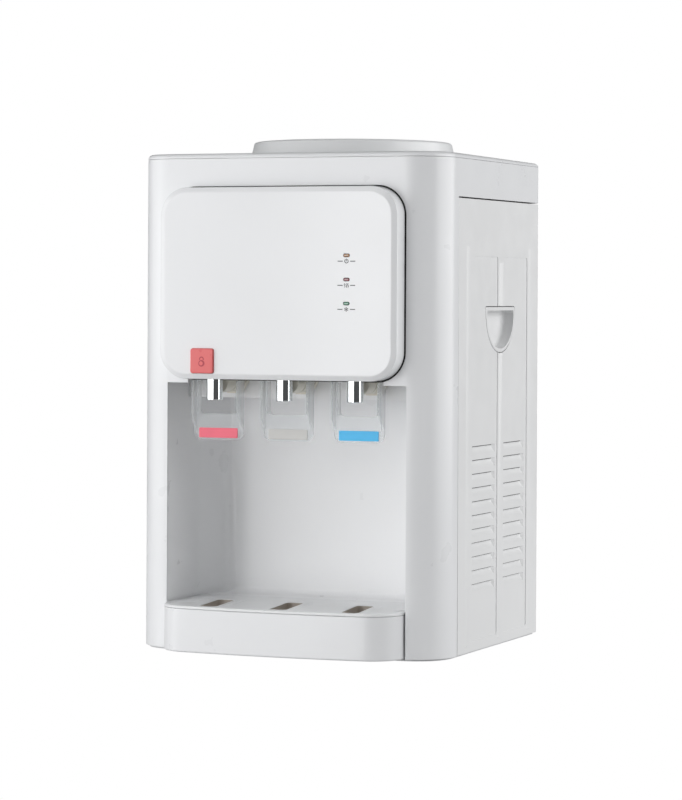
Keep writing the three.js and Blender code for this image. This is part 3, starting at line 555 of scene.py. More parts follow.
def foam_look():
    look = Look("expanded_foam", (0.78, 0.70, 0.50), 0.9)
    look.tint((0.66, 0.57, 0.38), 120)
    cells = look.tree.nodes.new("ShaderNodeTexVoronoi")
    cells.inputs["Scale"].default_value = 420
    look.tree.links.new(look.coordinates.outputs["Object"], cells.inputs["Vector"])
    look.relief(cells.outputs["Distance"], 0.6, 0.001)
    return look.material


def powder_coat(name, color):
    look = Look(name, color, 0.5)
    look.tint(tuple(c * 0.96 for c in color), 14)
    look.grain(1100, 0.35, 0.0003)
    return look.material


def printed(name, color, roughness=0.42):
    """Pad-printed or foil strip: even ink with a faint screen texture."""
    look = Look(name, color, roughness)
    look.tint(tuple(min(1, c * 1.07) for c in color), 60)
    look.vary_roughness(0.04, 500)
    look.grain(4200, 0.05, 0.0001)
    return look.material


GLOSS_WHITE = moulded_gloss("gloss_white_abs", (0.80, 0.808, 0.822), 0.3)
# painted light: the same white moulding made brighter, standing in for light that fills the cup bay
BAY_WHITE_PAINTED_LIGHT = moulded_gloss("bay_white_abs_painted_light", (0.90, 0.905, 0.915), 0.3)
PANEL_WHITE = moulded_gloss("panel_white_abs", (0.82, 0.828, 0.842), 0.16)
SATIN_WHITE = moulded_satin("satin_white_abs", (0.79, 0.795, 0.80), 0.36, 0.1)
GREY_WHITE = moulded_satin("grey_white_abs", (0.80, 0.81, 0.818), 0.34, 0.06)
CREAM = moulded_satin("cream_polypropylene", (0.80, 0.77, 0.68), 0.42, 0.08)
# taupe hue darkened as painted shade, standing in for the shade inside the drain holes
TAUPE_PAINTED_SHADE = moulded_satin("drain_cup_taupe_painted_shade", (0.42, 0.37, 0.32), 0.5, 0.15)
BUTTON_RED = moulded_gloss("button_salmon_red", (0.74, 0.13, 0.13), 0.3)
BUTTON_MARK = printed("button_mark_red", (0.42, 0.02, 0.04))
LABEL_LOOKS = {
    "hot": printed("label_red_ink", (0.83, 0.13, 0.19)),
    "normal": printed("label_grey_ink", (0.56, 0.555, 0.54)),
    "cold": printed("label_blue_ink", (0.05, 0.48, 0.86)),
}
INK = printed("pictogram_ink", (0.06, 0.065, 0.07), 0.5)
CLEAR = clear_look()
CHROME = chrome_look()
LENS_LOOKS = {
    "power": lens_look("amber_lens_plastic", (0.19, 0.075, 0.008)),
    "heating": lens_look("red_lens_plastic", (0.12, 0.004, 0.012)),
    "cooling": lens_look("green_lens_plastic", (0.003, 0.10, 0.045)),
}
STEEL = brushed_metal("brushed_stainless", (0.60, 0.61, 0.62), 0.3, (1, 1, 12))
ALUMINIUM = brushed_metal("extruded_aluminium", (0.68, 0.69, 0.70), 0.36, (1, 1, 10))
ZINC = brushed_metal("zinc_plated_screw", (0.56, 0.57, 0.58), 0.28, (6, 1, 1))
PAINTED_STEEL = powder_coat("grey_powder_coat", (0.70, 0.71, 0.72))
BLACK_PLASTIC = moulded_satin("black_polyamide", (0.022, 0.022, 0.024), 0.45, 0.2)
RUBBER = moulded_satin("black_rubber", (0.028, 0.028, 0.028), 0.75, 0.3)
FOAM = foam_look()
SILICONE = moulded_satin("silicone_hose", (0.72, 0.72, 0.70), 0.5, 0.05)
BOARD = board_look()


def dress(node, material, bevel=0.0, segments=2):
    """Gives a carried-over CAD node its material, and softer edges where asked."""
    carried = NODES[node]
    carried.data.materials.clear()
    carried.data.materials.append(material)
    if bevel:
        modifier = carried.modifiers.new("soft_edges", "BEVEL")
        modifier.width = bevel * MM
        modifier.segments = segments
        modifier.limit_method = "ANGLE"
        modifier.angle_limit = math.radians(38)


# ---------------------------------------------------------------- casing


def build_front_shell():
    shell = cut(
        prism(casing_plan(0), GAP, RIM_Z),
        prism(casing_plan(WALL), -2, RIM_Z + 2),
        block(-200, 200, SEAM_Y, DEPTH + 5, -3, RIM_Z + 3),
        block(-BAY_HALF + 1.2, BAY_HALF, -5, WALL + 2, -3, BAY_TOP),
        prism(
            rounded_rectangle(-TAP_CUTOUT_HALF, TAP_CUTOUT_HALF, BAY_TOP - 20, TAP_CUTOUT_TOP, 12),
            -5, WALL + 2, facing,
        ),
        cut(prism(panel_outline(-1.5), -1, 2.5, facing), prism(panel_outline(1.6), -3, 5, facing)),
    )
    band = cut(
        prism(casing_plan(0), SKIRT_Z, RIM_Z),
        prism(casing_plan(WALL), SKIRT_Z - 2, RIM_Z + 2),
        block(-200, 200, -5, SEAM_Y - 2, SKIRT_Z - 3, RIM_Z + 3),
    )
    shell = join(shell, band)
    soften(shell, 0.8, angle=60)
    finish_piece("front_shell", shell, GLOSS_WHITE, replaces=["front_housing"])
    # a black ring set in the groove round the panel cover: painted shadow for the dark gap there
    gap_shadow_ring = cut(prism(panel_outline(-1.3), 1.4, 2.4, facing), prism(panel_outline(1.5), 0, 4, facing))
    finish_piece("panel_gap_painted_shadow", gap_shadow_ring, RUBBER)


def build_cup_bay():
    """Liner of the cup bay, with folded rear corners and a back wall that steps forward under the taps."""
    skin = 2.5
    inner = BAY_HALF + GAP
    front = WALL + 1.2
    ledge_front = TRAY_REAR + 1.5
    foot_radius = 6
    step_low, step_high, step_out = 192, 203, 1.6
    section = [
        (ledge_front, GAP), (ledge_front, SHELF_Z),
        *arc(BAY_BACK - foot_radius, SHELF_Z + foot_radius, foot_radius, 270, 360, 6),
        (BAY_BACK, step_low), (BAY_BACK - step_out, step_high), (BAY_BACK - step_out, MOUNT_WALL_Z),
        (MOUNT_WALL_Y, MOUNT_WALL_Z), (MOUNT_WALL_Y, TAP_CUTOUT_TOP), (front, TAP_CUTOUT_TOP),
        (front, TAP_CUTOUT_TOP + skin), (MOUNT_WALL_Y + skin, TAP_CUTOUT_TOP + skin),
        (MOUNT_WALL_Y + skin, MOUNT_WALL_Z + skin), (BAY_BACK + skin, MOUNT_WALL_Z + skin),
        (BAY_BACK + skin, SHELF_Z + 5), (BAY_BACK - 5, SHELF_Z - skin),
        (ledge_front + skin, SHELF_Z - skin), (ledge_front + skin, GAP),
    ]
    cheek = [
        (front, GAP), (BAY_BACK + skin, GAP), (BAY_BACK + skin, MOUNT_WALL_Z + skin),
        (MOUNT_WALL_Y + skin, MOUNT_WALL_Z + skin), (MOUNT_WALL_Y + skin, TAP_CUTOUT_TOP + skin),
        (front, TAP_CUTOUT_TOP + skin),
    ]
    fold_y, fold_in = 78, 15
    wedges = []
    for side in (-1, 1):
        plan = [
            (side * (inner + 1), fold_y - 8), (side * inner, fold_y - 8),
            (side * (inner - 0.6), fold_y), (side * (inner - fold_in * 0.62), BAY_BACK - 10),
            (side * (inner - fold_in * 0.92), BAY_BACK - 3), (side * (inner - fold_in * 1.3), BAY_BACK),
            (side * (inner - fold_in * 1.3), BAY_BACK + 1), (side * (inner + 1), BAY_BACK + 1),
        ]
        wedges.append(prism(plan if side > 0 else plan[::-1], SHELF_Z - 1, MOUNT_WALL_Z + 1))
    liner = join(
        prism(section, -inner - skin, inner + skin, sideways),
        prism(cheek, -inner - skin, -inner, sideways),
        prism(cheek, inner, inner + skin, sideways),
        *wedges,
    )
    liner = cut(
        liner,
        *[
            bar((x, MOUNT_WALL_Y - 2, TAP_AXIS_Z), (x, MOUNT_WALL_Y + 6, TAP_AXIS_Z), 8)
            for x in TAP_X.values()
        ],
    )
    soften(liner, 1.2)
    # the liner's brighter white is painted light filling the cup bay
    finish_piece("cup_bay_liner", liner, BAY_WHITE_PAINTED_LIGHT, replaces=["dispensing_alcove"])


def build_top_cover():
    edge = 4.6
    deck_hole = 90
    hole_profile = [(0, DECK_Z - 9), (deck_hole, DECK_Z - 9), (deck_hole, DECK_Z + 3), (0, DECK_Z + 3)]
    rear_fall = 3.5
    cover = cut(
        pillow(casing_plan, RIM_Z + GAP, DECK_Z, round_end=edge - GAP, steps=7),
        prism(casing_plan(WALL), RIM_Z - 2, DECK_Z - WALL),
        lathe(hole_profile, 0, SEAT_Y, 96),
    )
    for vert in cover.verts:
        back = min(max((vert.co.y - 250) / (DEPTH - 250), 0), 1)
        share = (vert.co.z - RIM_Z) / (DECK_Z - RIM_Z)
        vert.co.z -= rear_fall * back * back * share
    finish_piece("top_deck", cover, GLOSS_WHITE, replaces=["top_cover"])


GROOVES_Y = [(67.0, 76.6), (158.2, 168.0), (244.5, 255.5)]
GROOVE_TOPS = [384, 369, 384]
FIELDS_Y = [(80.5, 154.5), (171.5, 240.5)]
FIELD_TOP = 369.8
LOUVRE_COLUMNS = [(85.5, 149.5), (173.5, 234.5)]
LOUVRE_ROWS = 11
LOUVRE_FIRST_Z = 63
LOUVRE_PITCH = 12.9


def groove(y0, y1, top, deep=2.0):
    """A channel with a steep front flank and a gentle rear flank, closed by a round end at the top."""
    radius = (y1 - y0) / 2
    outer = [(y0, 6), (y1, 6), *arc((y0 + y1) / 2, top - radius, radius, 0, 180, 10)]
    floor_radius = radius * 0.25
    floor_y = y0 + 0.5 + floor_radius
    inner = [
        (floor_y - floor_radius, 6), (floor_y + floor_radius, 6),
        *arc(floor_y, top - radius, floor_radius, 0, 180, 10),
    ]
    face = HALF_WIDTH
    return loft(
        [
            [sideways(a, b, face + 1) for a, b in outer],
            [sideways(a, b, face) for a, b in outer],
            [sideways(a, b, face - deep) for a, b in inner],
        ]
    )


def louvre_scoop(y0, y1, top):
    """A scoop that is deepest under its top edge and runs out at the bottom, with a sloped rear end."""
    face = HALF_WIDTH
    tall = 9.6
    deep = 2.9
    outer = [(y0, top - tall), (y1, top - tall), (y1, top), (y0, top)]
    inner = [(y0 + 0.6, top - 3.2), (y1 - 4, top - 3.2), (y1 - 4, top - 0.15), (y0 + 0.6, top - 0.15)]
    return loft(
        [
            [sideways(a, b, face + 1) for a, b in outer],
            [sideways(a, b, face) for a, b in outer],
            [sideways(a, b, face - deep) for a, b in inner],
        ]
    )


def side_panel_mesh():
    rear_edge = 18
    over = SIDE_TOP_Z + 6
    front_cut = [(-9, -6), (SEAM_Y + 1.5, -6), (SEAM_Y + 0.35, 330), (SEAM_Y + 0.35, over), (-9, over)]
    shell = cut(
        prism(casing_plan(0), GAP, SIDE_TOP_Z),
        prism(casing_plan(WALL), -3, SIDE_TOP_Z + 3),
        block(-200, HALF_WIDTH - rear_edge, -5, DEPTH + 5, -5, SIDE_TOP_Z + 5),
        prism(front_cut, -200, 200, sideways),
    )
    soften(shell, 0.5, angle=60, segments=2)
    face = HALF_WIDTH
    field_deep = 0.6
    tools = [groove(y0, y1, top) for (y0, y1), top in zip(GROOVES_Y, GROOVE_TOPS)]
    for y0, y1 in FIELDS_Y:
        outline = rounded_rectangle(y0, y1, 10, FIELD_TOP, 2.5, 4)
        tools.append(prism(outline, face - field_deep, face + 1, sideways))
    slots = []
    for y0, y1 in LOUVRE_COLUMNS:
        for row in range(LOUVRE_ROWS):
            top = LOUVRE_FIRST_Z + row * LOUVRE_PITCH
            tools.append(louvre_scoop(y0, y1, top))
            slots.append(block(face - WALL - 2, face + 0.5, y0 + 1.5, y1 - 4.5, top - 1.0, top - 0.3))
    opening = prism(pocket_outline(0), face - WALL - 3, face + 2, sideways)
    return cut(shell, *tools, *slots, opening)


def handle_cup_mesh():
    """Finger cup: a flush rim, straight walls and a floor rounded into them."""
    face = HALF_WIDTH - 0.2
    rim = 4.2
    deepest = 11
    floor_skin = 1.6

    def outside(inset):
        return pocket_outline(0.7 + inset)

    def inside(inset):
        return pocket_outline(rim + inset)

    shell = pillow(outside, face - deepest - floor_skin, face, sideways, round_end=1.0, steps=3)
    hollow = pillow(inside, face + 2, face - deepest, sideways, round_end=3.0, steps=5)
    cup = cut(shell, hollow)
    return soften(cup, 0.8, angle=50)


def build_vent_screens():
    """Dark dust screens behind the louvres."""
    inner_face = HALF_WIDTH - WALL
    low, high = LOUVRE_FIRST_Z - 6, LOUVRE_FIRST_Z + LOUVRE_ROWS * LOUVRE_PITCH
    for side, turn_over in (("right", False), ("left", True)):
        sheets = []
        for y0, y1 in LOUVRE_COLUMNS:

            def outline(inset, y0=y0, y1=y1):
                return rounded_rectangle(y0 + inset, y1 - inset, low + inset, high - inset, 2, 4)

            sheet = pillow(outline, inner_face - 1.2, inner_face - 0.4, sideways, round_end=0.3, steps=2)
            sheets.append(sheet)
        screen = together(*sheets)
        if turn_over:
            mirrored(screen)
        finish_piece(f"{side}_dust_screen", screen, BLACK_PLASTIC)


def build_sides():
    for side, turn_over in (("right", False), ("left", True)):
        panel, cup = side_panel_mesh(), handle_cup_mesh()
        if turn_over:
            mirrored(panel)
            mirrored(cup)
        node = [f"{side}_side_panel"]
        finish_piece(f"{side}_louvred_side", panel, SATIN_WHITE, replaces=node, crease=30)
        finish_piece(f"{side}_finger_cup", cup, SATIN_WHITE, "cabinet", [f"{side}_handle_cup"])


# ---------------------------------------------------------------- control panel

BUTTON_HALF = 11.6
BUTTON_X, BUTTON_Z = -74.2, 271
BUTTON_FACE_Y = PANEL_FACE_Y - 2.5
LENS_X = 70
LENSES = ("power", "heating", "cooling")


def lens_z(name):
    low, high = span(f"{name}_lens", "z")
    return (low + high) / 2


def panel_outline(inset):
    return rounded_rectangle(
        -PANEL_HALF + inset, PANEL_HALF - inset, PANEL_BOTTOM + inset, PANEL_TOP - inset,
        PANEL_CORNER - inset, 16,
    )


def build_control_panel():
    """Cover with a straight wall, a flat bevel and softly rolled arrises."""
    wall_front = PANEL_FACE_Y + PANEL_BEVEL_DEEP
    stages = [(0.0, -GAP), (0.0, wall_front + 1.0), (0.12, wall_front + 0.45), (0.45, wall_front)]
    for k in range(1, 5):
        share = k / 5
        stages.append((0.45 + (PANEL_BEVEL_IN - 1.3) * share, wall_front - (PANEL_BEVEL_DEEP - 0.45) * share))
    stages += [
        (PANEL_BEVEL_IN - 0.9, PANEL_FACE_Y + 0.42), (PANEL_BEVEL_IN - 0.1, PANEL_FACE_Y + 0.14),
        (PANEL_BEVEL_IN + 0.9, PANEL_FACE_Y),
    ]
    body = loft([[facing(a, b, y) for a, b in panel_outline(inset)] for inset, y in stages])
    hollow = prism(panel_outline(PANEL_WALL), wall_front, 5, facing)
    half = BUTTON_HALF + 0.25
    button_hole = prism(
        rounded_rectangle(BUTTON_X - half, BUTTON_X + half, BUTTON_Z - half, BUTTON_Z + half, 2.2, 5),
        PANEL_FACE_Y - 3, -8, facing,
    )
    notch_top = PANEL_BOTTOM + PANEL_WALL + 1
    tap_notch = block(-TAP_CUTOUT_HALF, TAP_CUTOUT_HALF, PANEL_FACE_Y + 7, 5, PANEL_BOTTOM - 3, notch_top)
    lens_holes = [
        prism(
            rounded_rectangle(LENS_X - 3.3, LENS_X + 3.3, lens_z(name) - 1.7, lens_z(name) + 1.7, 1.69, 6),
            PANEL_FACE_Y - 3, -10, facing,
        )
        for name in LENSES
    ]
    body = cut(body, hollow, button_hole, tap_notch, *lens_holes)
    finish_piece("panel_cover", body, PANEL_WHITE, replaces=["control_panel"], crease=34)


def build_child_lock():
    inner = PANEL_FACE_Y + 3.4
    half = BUTTON_HALF

    def outline(inset):
        r = half - inset
        return rounded_rectangle(BUTTON_X - r, BUTTON_X + r, BUTTON_Z - r, BUTTON_Z + r, 2.2, 6)

    cap = pillow(outline, inner, BUTTON_FACE_Y, facing, round_end=1.2, steps=5)
    dish = loft(
        [
            [facing(a, b, BUTTON_FACE_Y - 1) for a, b in outline(2.0)],
            [facing(a, b, BUTTON_FACE_Y) for a, b in outline(2.0)],
            [facing(a, b, BUTTON_FACE_Y + 0.35) for a, b in outline(3.0)],
        ]
    )
    wide = half + 1.5
    low, high = BUTTON_Z - half + 1, BUTTON_Z + wide
    flange = block(BUTTON_X - wide, BUTTON_X + wide, inner - 2.5, inner - 1, low, high)
    cap = join(cut(cap, dish), flange)
    finish_piece(
        "child_lock_cap", cap, BUTTON_RED, "child_lock", ["child_lock_button"], crease=30
    )
    mark_y = BUTTON_FACE_Y + 0.35
    shackle_z = BUTTON_Z + 1.7
    shackle = prism(
        arc(BUTTON_X, shackle_z, 2.4, -20, 200, 20) + arc(BUTTON_X, shackle_z, 1.4, 200, -20, 20),
        mark_y - 0.14, mark_y + 0.2, facing,
    )
    body_z = BUTTON_Z - 2.2
    body_mark = cut(
        prism(arc(BUTTON_X, body_z, 3.1, 0, 345, 28), mark_y - 0.14, mark_y + 0.2, facing),
        prism(arc(BUTTON_X - 0.5, body_z, 1.9, 0, 345, 24), mark_y - 1, mark_y + 1, facing),
    )
    finish_piece("child_lock_mark", together(shackle, body_mark), BUTTON_MARK, "child_lock")


def stroke(points, width, y, thick=0.07):
    """A printed line through the points, in X and Z, standing on the panel's face."""
    pieces = []
    for (a0, b0), (a1, b1) in zip(points, points[1:]):
        along = Vector((a1 - a0, b1 - b0)).normalized()
        side = Vector((-along.y, along.x)) * width / 2
        tip = along * width * 0.4
        corners = [
            (a0 - tip.x - side.x, b0 - tip.y - side.y), (a1 + tip.x - side.x, b1 + tip.y - side.y),
            (a1 + tip.x + side.x, b1 + tip.y + side.y), (a0 - tip.x + side.x, b0 - tip.y + side.y),
        ]
        pieces.append(prism(corners, y - thick, y + 0.1, facing))
    return pieces


def power_mark(x, z):
    ring = arc(x, z, 1.7, 125, 415, 20)
    return stroke(ring, 0.62, PANEL_FACE_Y) + stroke([(x, z + 0.3), (x, z + 2.1)], 0.62, PANEL_FACE_Y)


def heating_mark(x, z):
    pieces = []
    for offset in (-1.7, 0, 1.7):
        wave = [(x + offset + 0.42 * math.sin(k * math.pi / 4), z - 1.7 + 3.4 * k / 8) for k in range(9)]
        pieces += stroke(wave, 0.6, PANEL_FACE_Y)
    return pieces


def cooling_mark(x, z):
    pieces = []
    for k in range(3):
        t = math.radians(30 + 60 * k)
        dx, dz = 1.85 * math.cos(t), 1.85 * math.sin(t)
        pieces += stroke([(x - dx, z - dz), (x + dx, z + dz)], 0.52, PANEL_FACE_Y)
        for end in (-1, 1):
            for turn_by in (-35, 35):
                u = t + math.radians(turn_by)
                root = (x + end * dx * 0.55, z + end * dz * 0.55)
                tip = (root[0] + end * 0.75 * math.cos(u), root[1] + end * 0.75 * math.sin(u))
                pieces += stroke([root, tip], 0.34, PANEL_FACE_Y)
    return pieces


def build_indicators():
    marks = {"power": power_mark, "heating": heating_mark, "cooling": cooling_mark}
    for name in LENSES:
        z = lens_z(name)

        def outline(inset, z=z):
            wide, tall = 3.05 - inset, 1.5 - inset
            return rounded_rectangle(LENS_X - wide, LENS_X + wide, z - tall, z + tall, 1.49 - inset, 8)

        lens = pillow(outline, -13, PANEL_FACE_Y - 0.6, facing, round_end=0.9, steps=5)
        finish_piece(
            f"{name}_light_window", lens, LENS_LOOKS[name], "cabinet", [f"{name}_lens"]
        )
        mark_z = z - 5.3
        pieces = marks[name](LENS_X, mark_z)
        for side in (-1, 1):
            pieces += stroke(
                [(LENS_X + side * 4.0, mark_z), (LENS_X + side * 8.4, mark_z)], 0.8, PANEL_FACE_Y
            )
        finish_piece(f"{name}_pictogram", together(*pieces), INK)


# ---------------------------------------------------------------- taps


def build_tap_body(name, x):
    """Valve chamber, barrel with collar rings, clamp nut at the wall and two ears for the lever."""
    chamber_bottom, chamber_top = 254.6, 277
    chamber = lathe(
        [
            (0, chamber_bottom), (8.4, chamber_bottom), (9.6, chamber_bottom + 1.2),
            (9.6, chamber_bottom + 5), (11, chamber_bottom + 6), (11, chamber_top - 1.5),
            (9.5, chamber_top), (0, chamber_top),
        ],
        x, 0, 48,
    )
    barrel = lathe(
        [
            (0, 8.4), (10.5, 8.4), (10.5, 26), (9.4, 26.6), (9.4, 29), (10.5, 29.6), (10.5, 40),
            (7.6, 40.6), (7.6, 63.5), (0, 63.5),
        ],
        x, TAP_AXIS_Z, 48, "y",
    )
    nut_outline = []
    for corner in range(6):
        t = math.radians(60 * corner)
        nut_outline.append((x + 14 * math.cos(t), TAP_AXIS_Z + 14 * math.sin(t)))
    nut = prism(nut_outline, MOUNT_WALL_Y - 6, MOUNT_WALL_Y - GAP, facing)
    neck = block(x - 8, x + 8, 0, 16, chamber_bottom, 267)
    bridge = block(x - 14, x + 14, PIVOT_Y - 4, PIVOT_Y + 3.6, chamber_top - 14, chamber_top - 4)
    ears = []
    for side in (-1, 1):
        ear = [
            (PIVOT_Y - 4, chamber_top - 14), (PIVOT_Y + 3.6, chamber_top - 14),
            *arc(PIVOT_Y - 0.2, PIVOT_Z, 3.8, 0, 180, 10),
        ]
        inner, outer = sorted((x + side * 12, x + side * 17))
        ears.append(prism(ear, inner, outer, sideways))
    body = join(barrel, chamber, nut, neck, bridge, *ears)
    body = cut(
        body,
        bar((x, 0, chamber_bottom - 2), (x, 0, chamber_top - 5), 6),
        bar((x, 0, chamber_top - 7), (x, 0, chamber_top + 3), 2.8, 16),
        bar((x - 20, PIVOT_Y, PIVOT_Z), (x + 20, PIVOT_Y, PIVOT_Z), 2.4, 16),
        bar((x, 30, TAP_AXIS_Z), (x, 70, TAP_AXIS_Z), 4, 24),
    )
    soften(body, 0.35, angle=50, segments=2)
    finish_piece(f"{name}_valve_body", body, CREAM, replaces=[f"{name}_tap_body"])


def build_spout(name, x):
    top, bottom = 254.3, 234
    radius, bore = 7.8, 6.1
    inner, outer = 0.8, 0.9
    quarter = math.pi / 2
    profile = (
        [(bore, bottom + inner)]
        + [
            (bore + inner * (1 - math.cos(t)), bottom + inner * (1 - math.sin(t)))
            for t in (0.5, 1.1, quarter)
        ]
        + [
            (radius - outer * (1 - math.sin(t)), bottom + outer * (1 - math.cos(t)))
            for t in (0.0, 0.5, 1.0, quarter)
        ]
        + [(radius, top - 0.6), (radius - 0.5, top), (bore, top)]
    )
    spout = lathe(profile, x, 0, 64)
    finish_piece(f"{name}_chrome_spout", spout, CHROME, replaces=[f"{name}_tap_spout"])


def build_lever(name, x):
    """Clear paddle with a U opening, turned-in side flanges, two arms and the lifting bar."""
    back = LEVER_FACE_Y + LEVER_PLATE
    plate = prism(
        rounded_rectangle(x - LEVER_HALF, x + LEVER_HALF, LEVER_BOTTOM, LEVER_TOP_EDGE, (8, 8, 0.5, 0.5), 8),
        LEVER_FACE_Y, back, facing,
    )
    opening = prism(
        rounded_rectangle(x - 19, x + 19, 221, LEVER_TOP_EDGE + 20, (4, 4, 0.5, 0.5), 6),
        LEVER_FACE_Y - 3, back + 3, facing,
    )
    arm_outline = [
        (LEVER_FACE_Y + 1, LEVER_BOTTOM + 8), (back, LEVER_BOTTOM + 8), (back, LEVER_TOP_EDGE),
        (7, PIVOT_Z - 4), (7, PIVOT_Z + 3), (PIVOT_Y - 4, PIVOT_Z + 3), (PIVOT_Y - 4, PIVOT_Z - 5),
        (2.5, LEVER_TOP_EDGE), (2.5, LEVER_BOTTOM + 22),
    ]
    parts = []
    for side in (-1, 1):
        inner, outer = sorted((x + side * (LEVER_HALF - 2.2), x + side * LEVER_HALF))
        parts.append(prism(arm_outline, inner, outer, sideways))
        parts.append(
            bar((x + side * (LEVER_HALF - 1), PIVOT_Y, PIVOT_Z), (x + side * 12.5, PIVOT_Y, PIVOT_Z), 2, 16)
        )
        inner, outer = sorted((x + side * 19, x + side * 20.6))
        parts.append(block(inner, outer, LEVER_FACE_Y - 3.2, LEVER_FACE_Y + 1, 222, LEVER_TOP_EDGE))
    lift_bar = cut(
        block(x - LEVER_HALF + 1, x + LEVER_HALF - 1, -3.4, 6, PIVOT_Z - 0.5, PIVOT_Z + 2.7),
        block(x - 2.6, x + 2.6, -6, 3.2, PIVOT_Z - 4, PIVOT_Z + 6),
    )
    lever = join(cut(plate, opening), *parts, lift_bar)
    soften(lever, 0.45, angle=50, segments=2)
    stands_for = [f"{name}_tap_lever"]
    finish_piece(f"{name}_clear_lever", lever, CLEAR, f"{name}_lever", stands_for, crease=45)


def build_label(name, x):
    (x0, x1), (z0, z1) = span(f"{name}_lever_label", "x"), span(f"{name}_lever_label", "z")
    y0, y1 = span(f"{name}_lever_label", "y")

    def outline(inset):
        return rounded_rectangle(x0 + inset, x1 - inset, z0 + inset, z1 - inset, 0.7, 4)

    strip = pillow(outline, y1, y0, facing, round_end=0.3, steps=3)
    finish_piece(
        f"{name}_colour_strip", strip, LABEL_LOOKS[name], f"{name}_lever", [f"{name}_lever_label"]
    )


def build_taps():
    for name, x in TAP_X.items():
        build_tap_body(name, x)
        build_spout(name, x)
        build_lever(name, x)
        build_label(name, x)
        dress(f"{name}_valve_stem", CREAM, 0.3)


# ---------------------------------------------------------------- drip tray


def build_tray():
    tray = cut(
        pillow(tray_plan, GAP, TRAY_TOP, round_start=1.6, round_end=0.5, steps=4),
        prism(tray_plan(2.5), GAP + 2.5, TRAY_TOP + 3),
    )
    finish_piece("tray_basin", tray, GLOSS_WHITE, "drip_tray", ["drip_tray"])


HOLE_MIDDLE_Y = 8
HOLE_HALF_LONG = 33
HOLE_HALF_WIDE = 7.6
HOLE_LEAN = -0.15


def drain_hole(x, grow=0.0):
    """Outline of a drain hole: long from front to back, leaning left, with round corners."""
    half_wide = HOLE_HALF_WIDE + grow
    half_long = HOLE_HALF_LONG + grow
    upright_hole = rounded_rectangle(
        -half_wide, half_wide, -half_long, half_long, (2, 6, 2, 6), 6
    )
    return [(x + a + HOLE_LEAN * b, HOLE_MIDDLE_Y + b) for a, b in upright_hole]


def build_grille():
    plate_bottom = TRAY_TOP + GAP
    plate = pillow(tray_plan, plate_bottom, GRILLE_TOP, round_start=0.4, round_end=1.3, steps=4)
    lip = cut(
        prism(tray_plan(2.8), TRAY_TOP - 3, GRILLE_TOP - 1.2),
        prism(tray_plan(4.3), TRAY_TOP - 6, TRAY_TOP + 1),
    )
    inlay = 0.35
    rim_line = cut(
        prism(tray_plan(5.0), GRILLE_TOP - inlay, GRILLE_TOP + 1),
        prism(tray_plan(6.2), GRILLE_TOP - 2, GRILLE_TOP + 2),
    )
    plate = cut(join(plate, lip), rim_line)
    holes = []
    for x in TAP_X.values():
        holes.append(prism(drain_hole(x, 0.9), TRAY_TOP - 8, GRILLE_TOP + 2))
        for row in range(7):
            y = HOLE_MIDDLE_Y - 31 + row * 10.5
            left = x + 14 + HOLE_LEAN * (y - HOLE_MIDDLE_Y)
            holes.append(block(left, left + 4, y - 0.9, y + 0.9, TRAY_TOP - 8, GRILLE_TOP + 2))
    for row in range(6):
        y = 8 + row * 9
        holes.append(block(-110, -94, y - 1.1, y + 1.1, GRILLE_TOP - 0.9, GRILLE_TOP + 2))
    for row in range(5):
        y = 14 + row * 10
        holes.append(block(101, 108, y - 1.0, y + 1.0, GRILLE_TOP - 0.9, GRILLE_TOP + 2))
    plate = cut(plate, *holes)
    finish_piece("tray_grille", plate, GREY_WHITE, "drip_grille", ["drip_grille"], crease=30)
    rim, neck = GRILLE_TOP - 0.5, TRAY_TOP - 1.0
    cup_section = [(0.7, rim), (0.7, neck), (-1.0, TRAY_TOP - 5), (-3.0, TRAY_TOP - 7)]
    cup_section += [(-3.6, TRAY_TOP - 6.2), (-1.6, TRAY_TOP - 4.4), (-0.1, neck), (-0.1, rim)]
    cups = []
    for x in TAP_X.values():
        rings = [[(a, b, z) for a, b in drain_hole(x, grow)] for grow, z in cup_section]
        cups.append(loft(rings, ends=False))
    # the cups' dark taupe is partly painted shade for the hollows under the drain holes
    finish_piece("drain_cups", together(*cups), TAUPE_PAINTED_SHADE, "drip_grille")


# ---------------------------------------------------------------- bottle seat


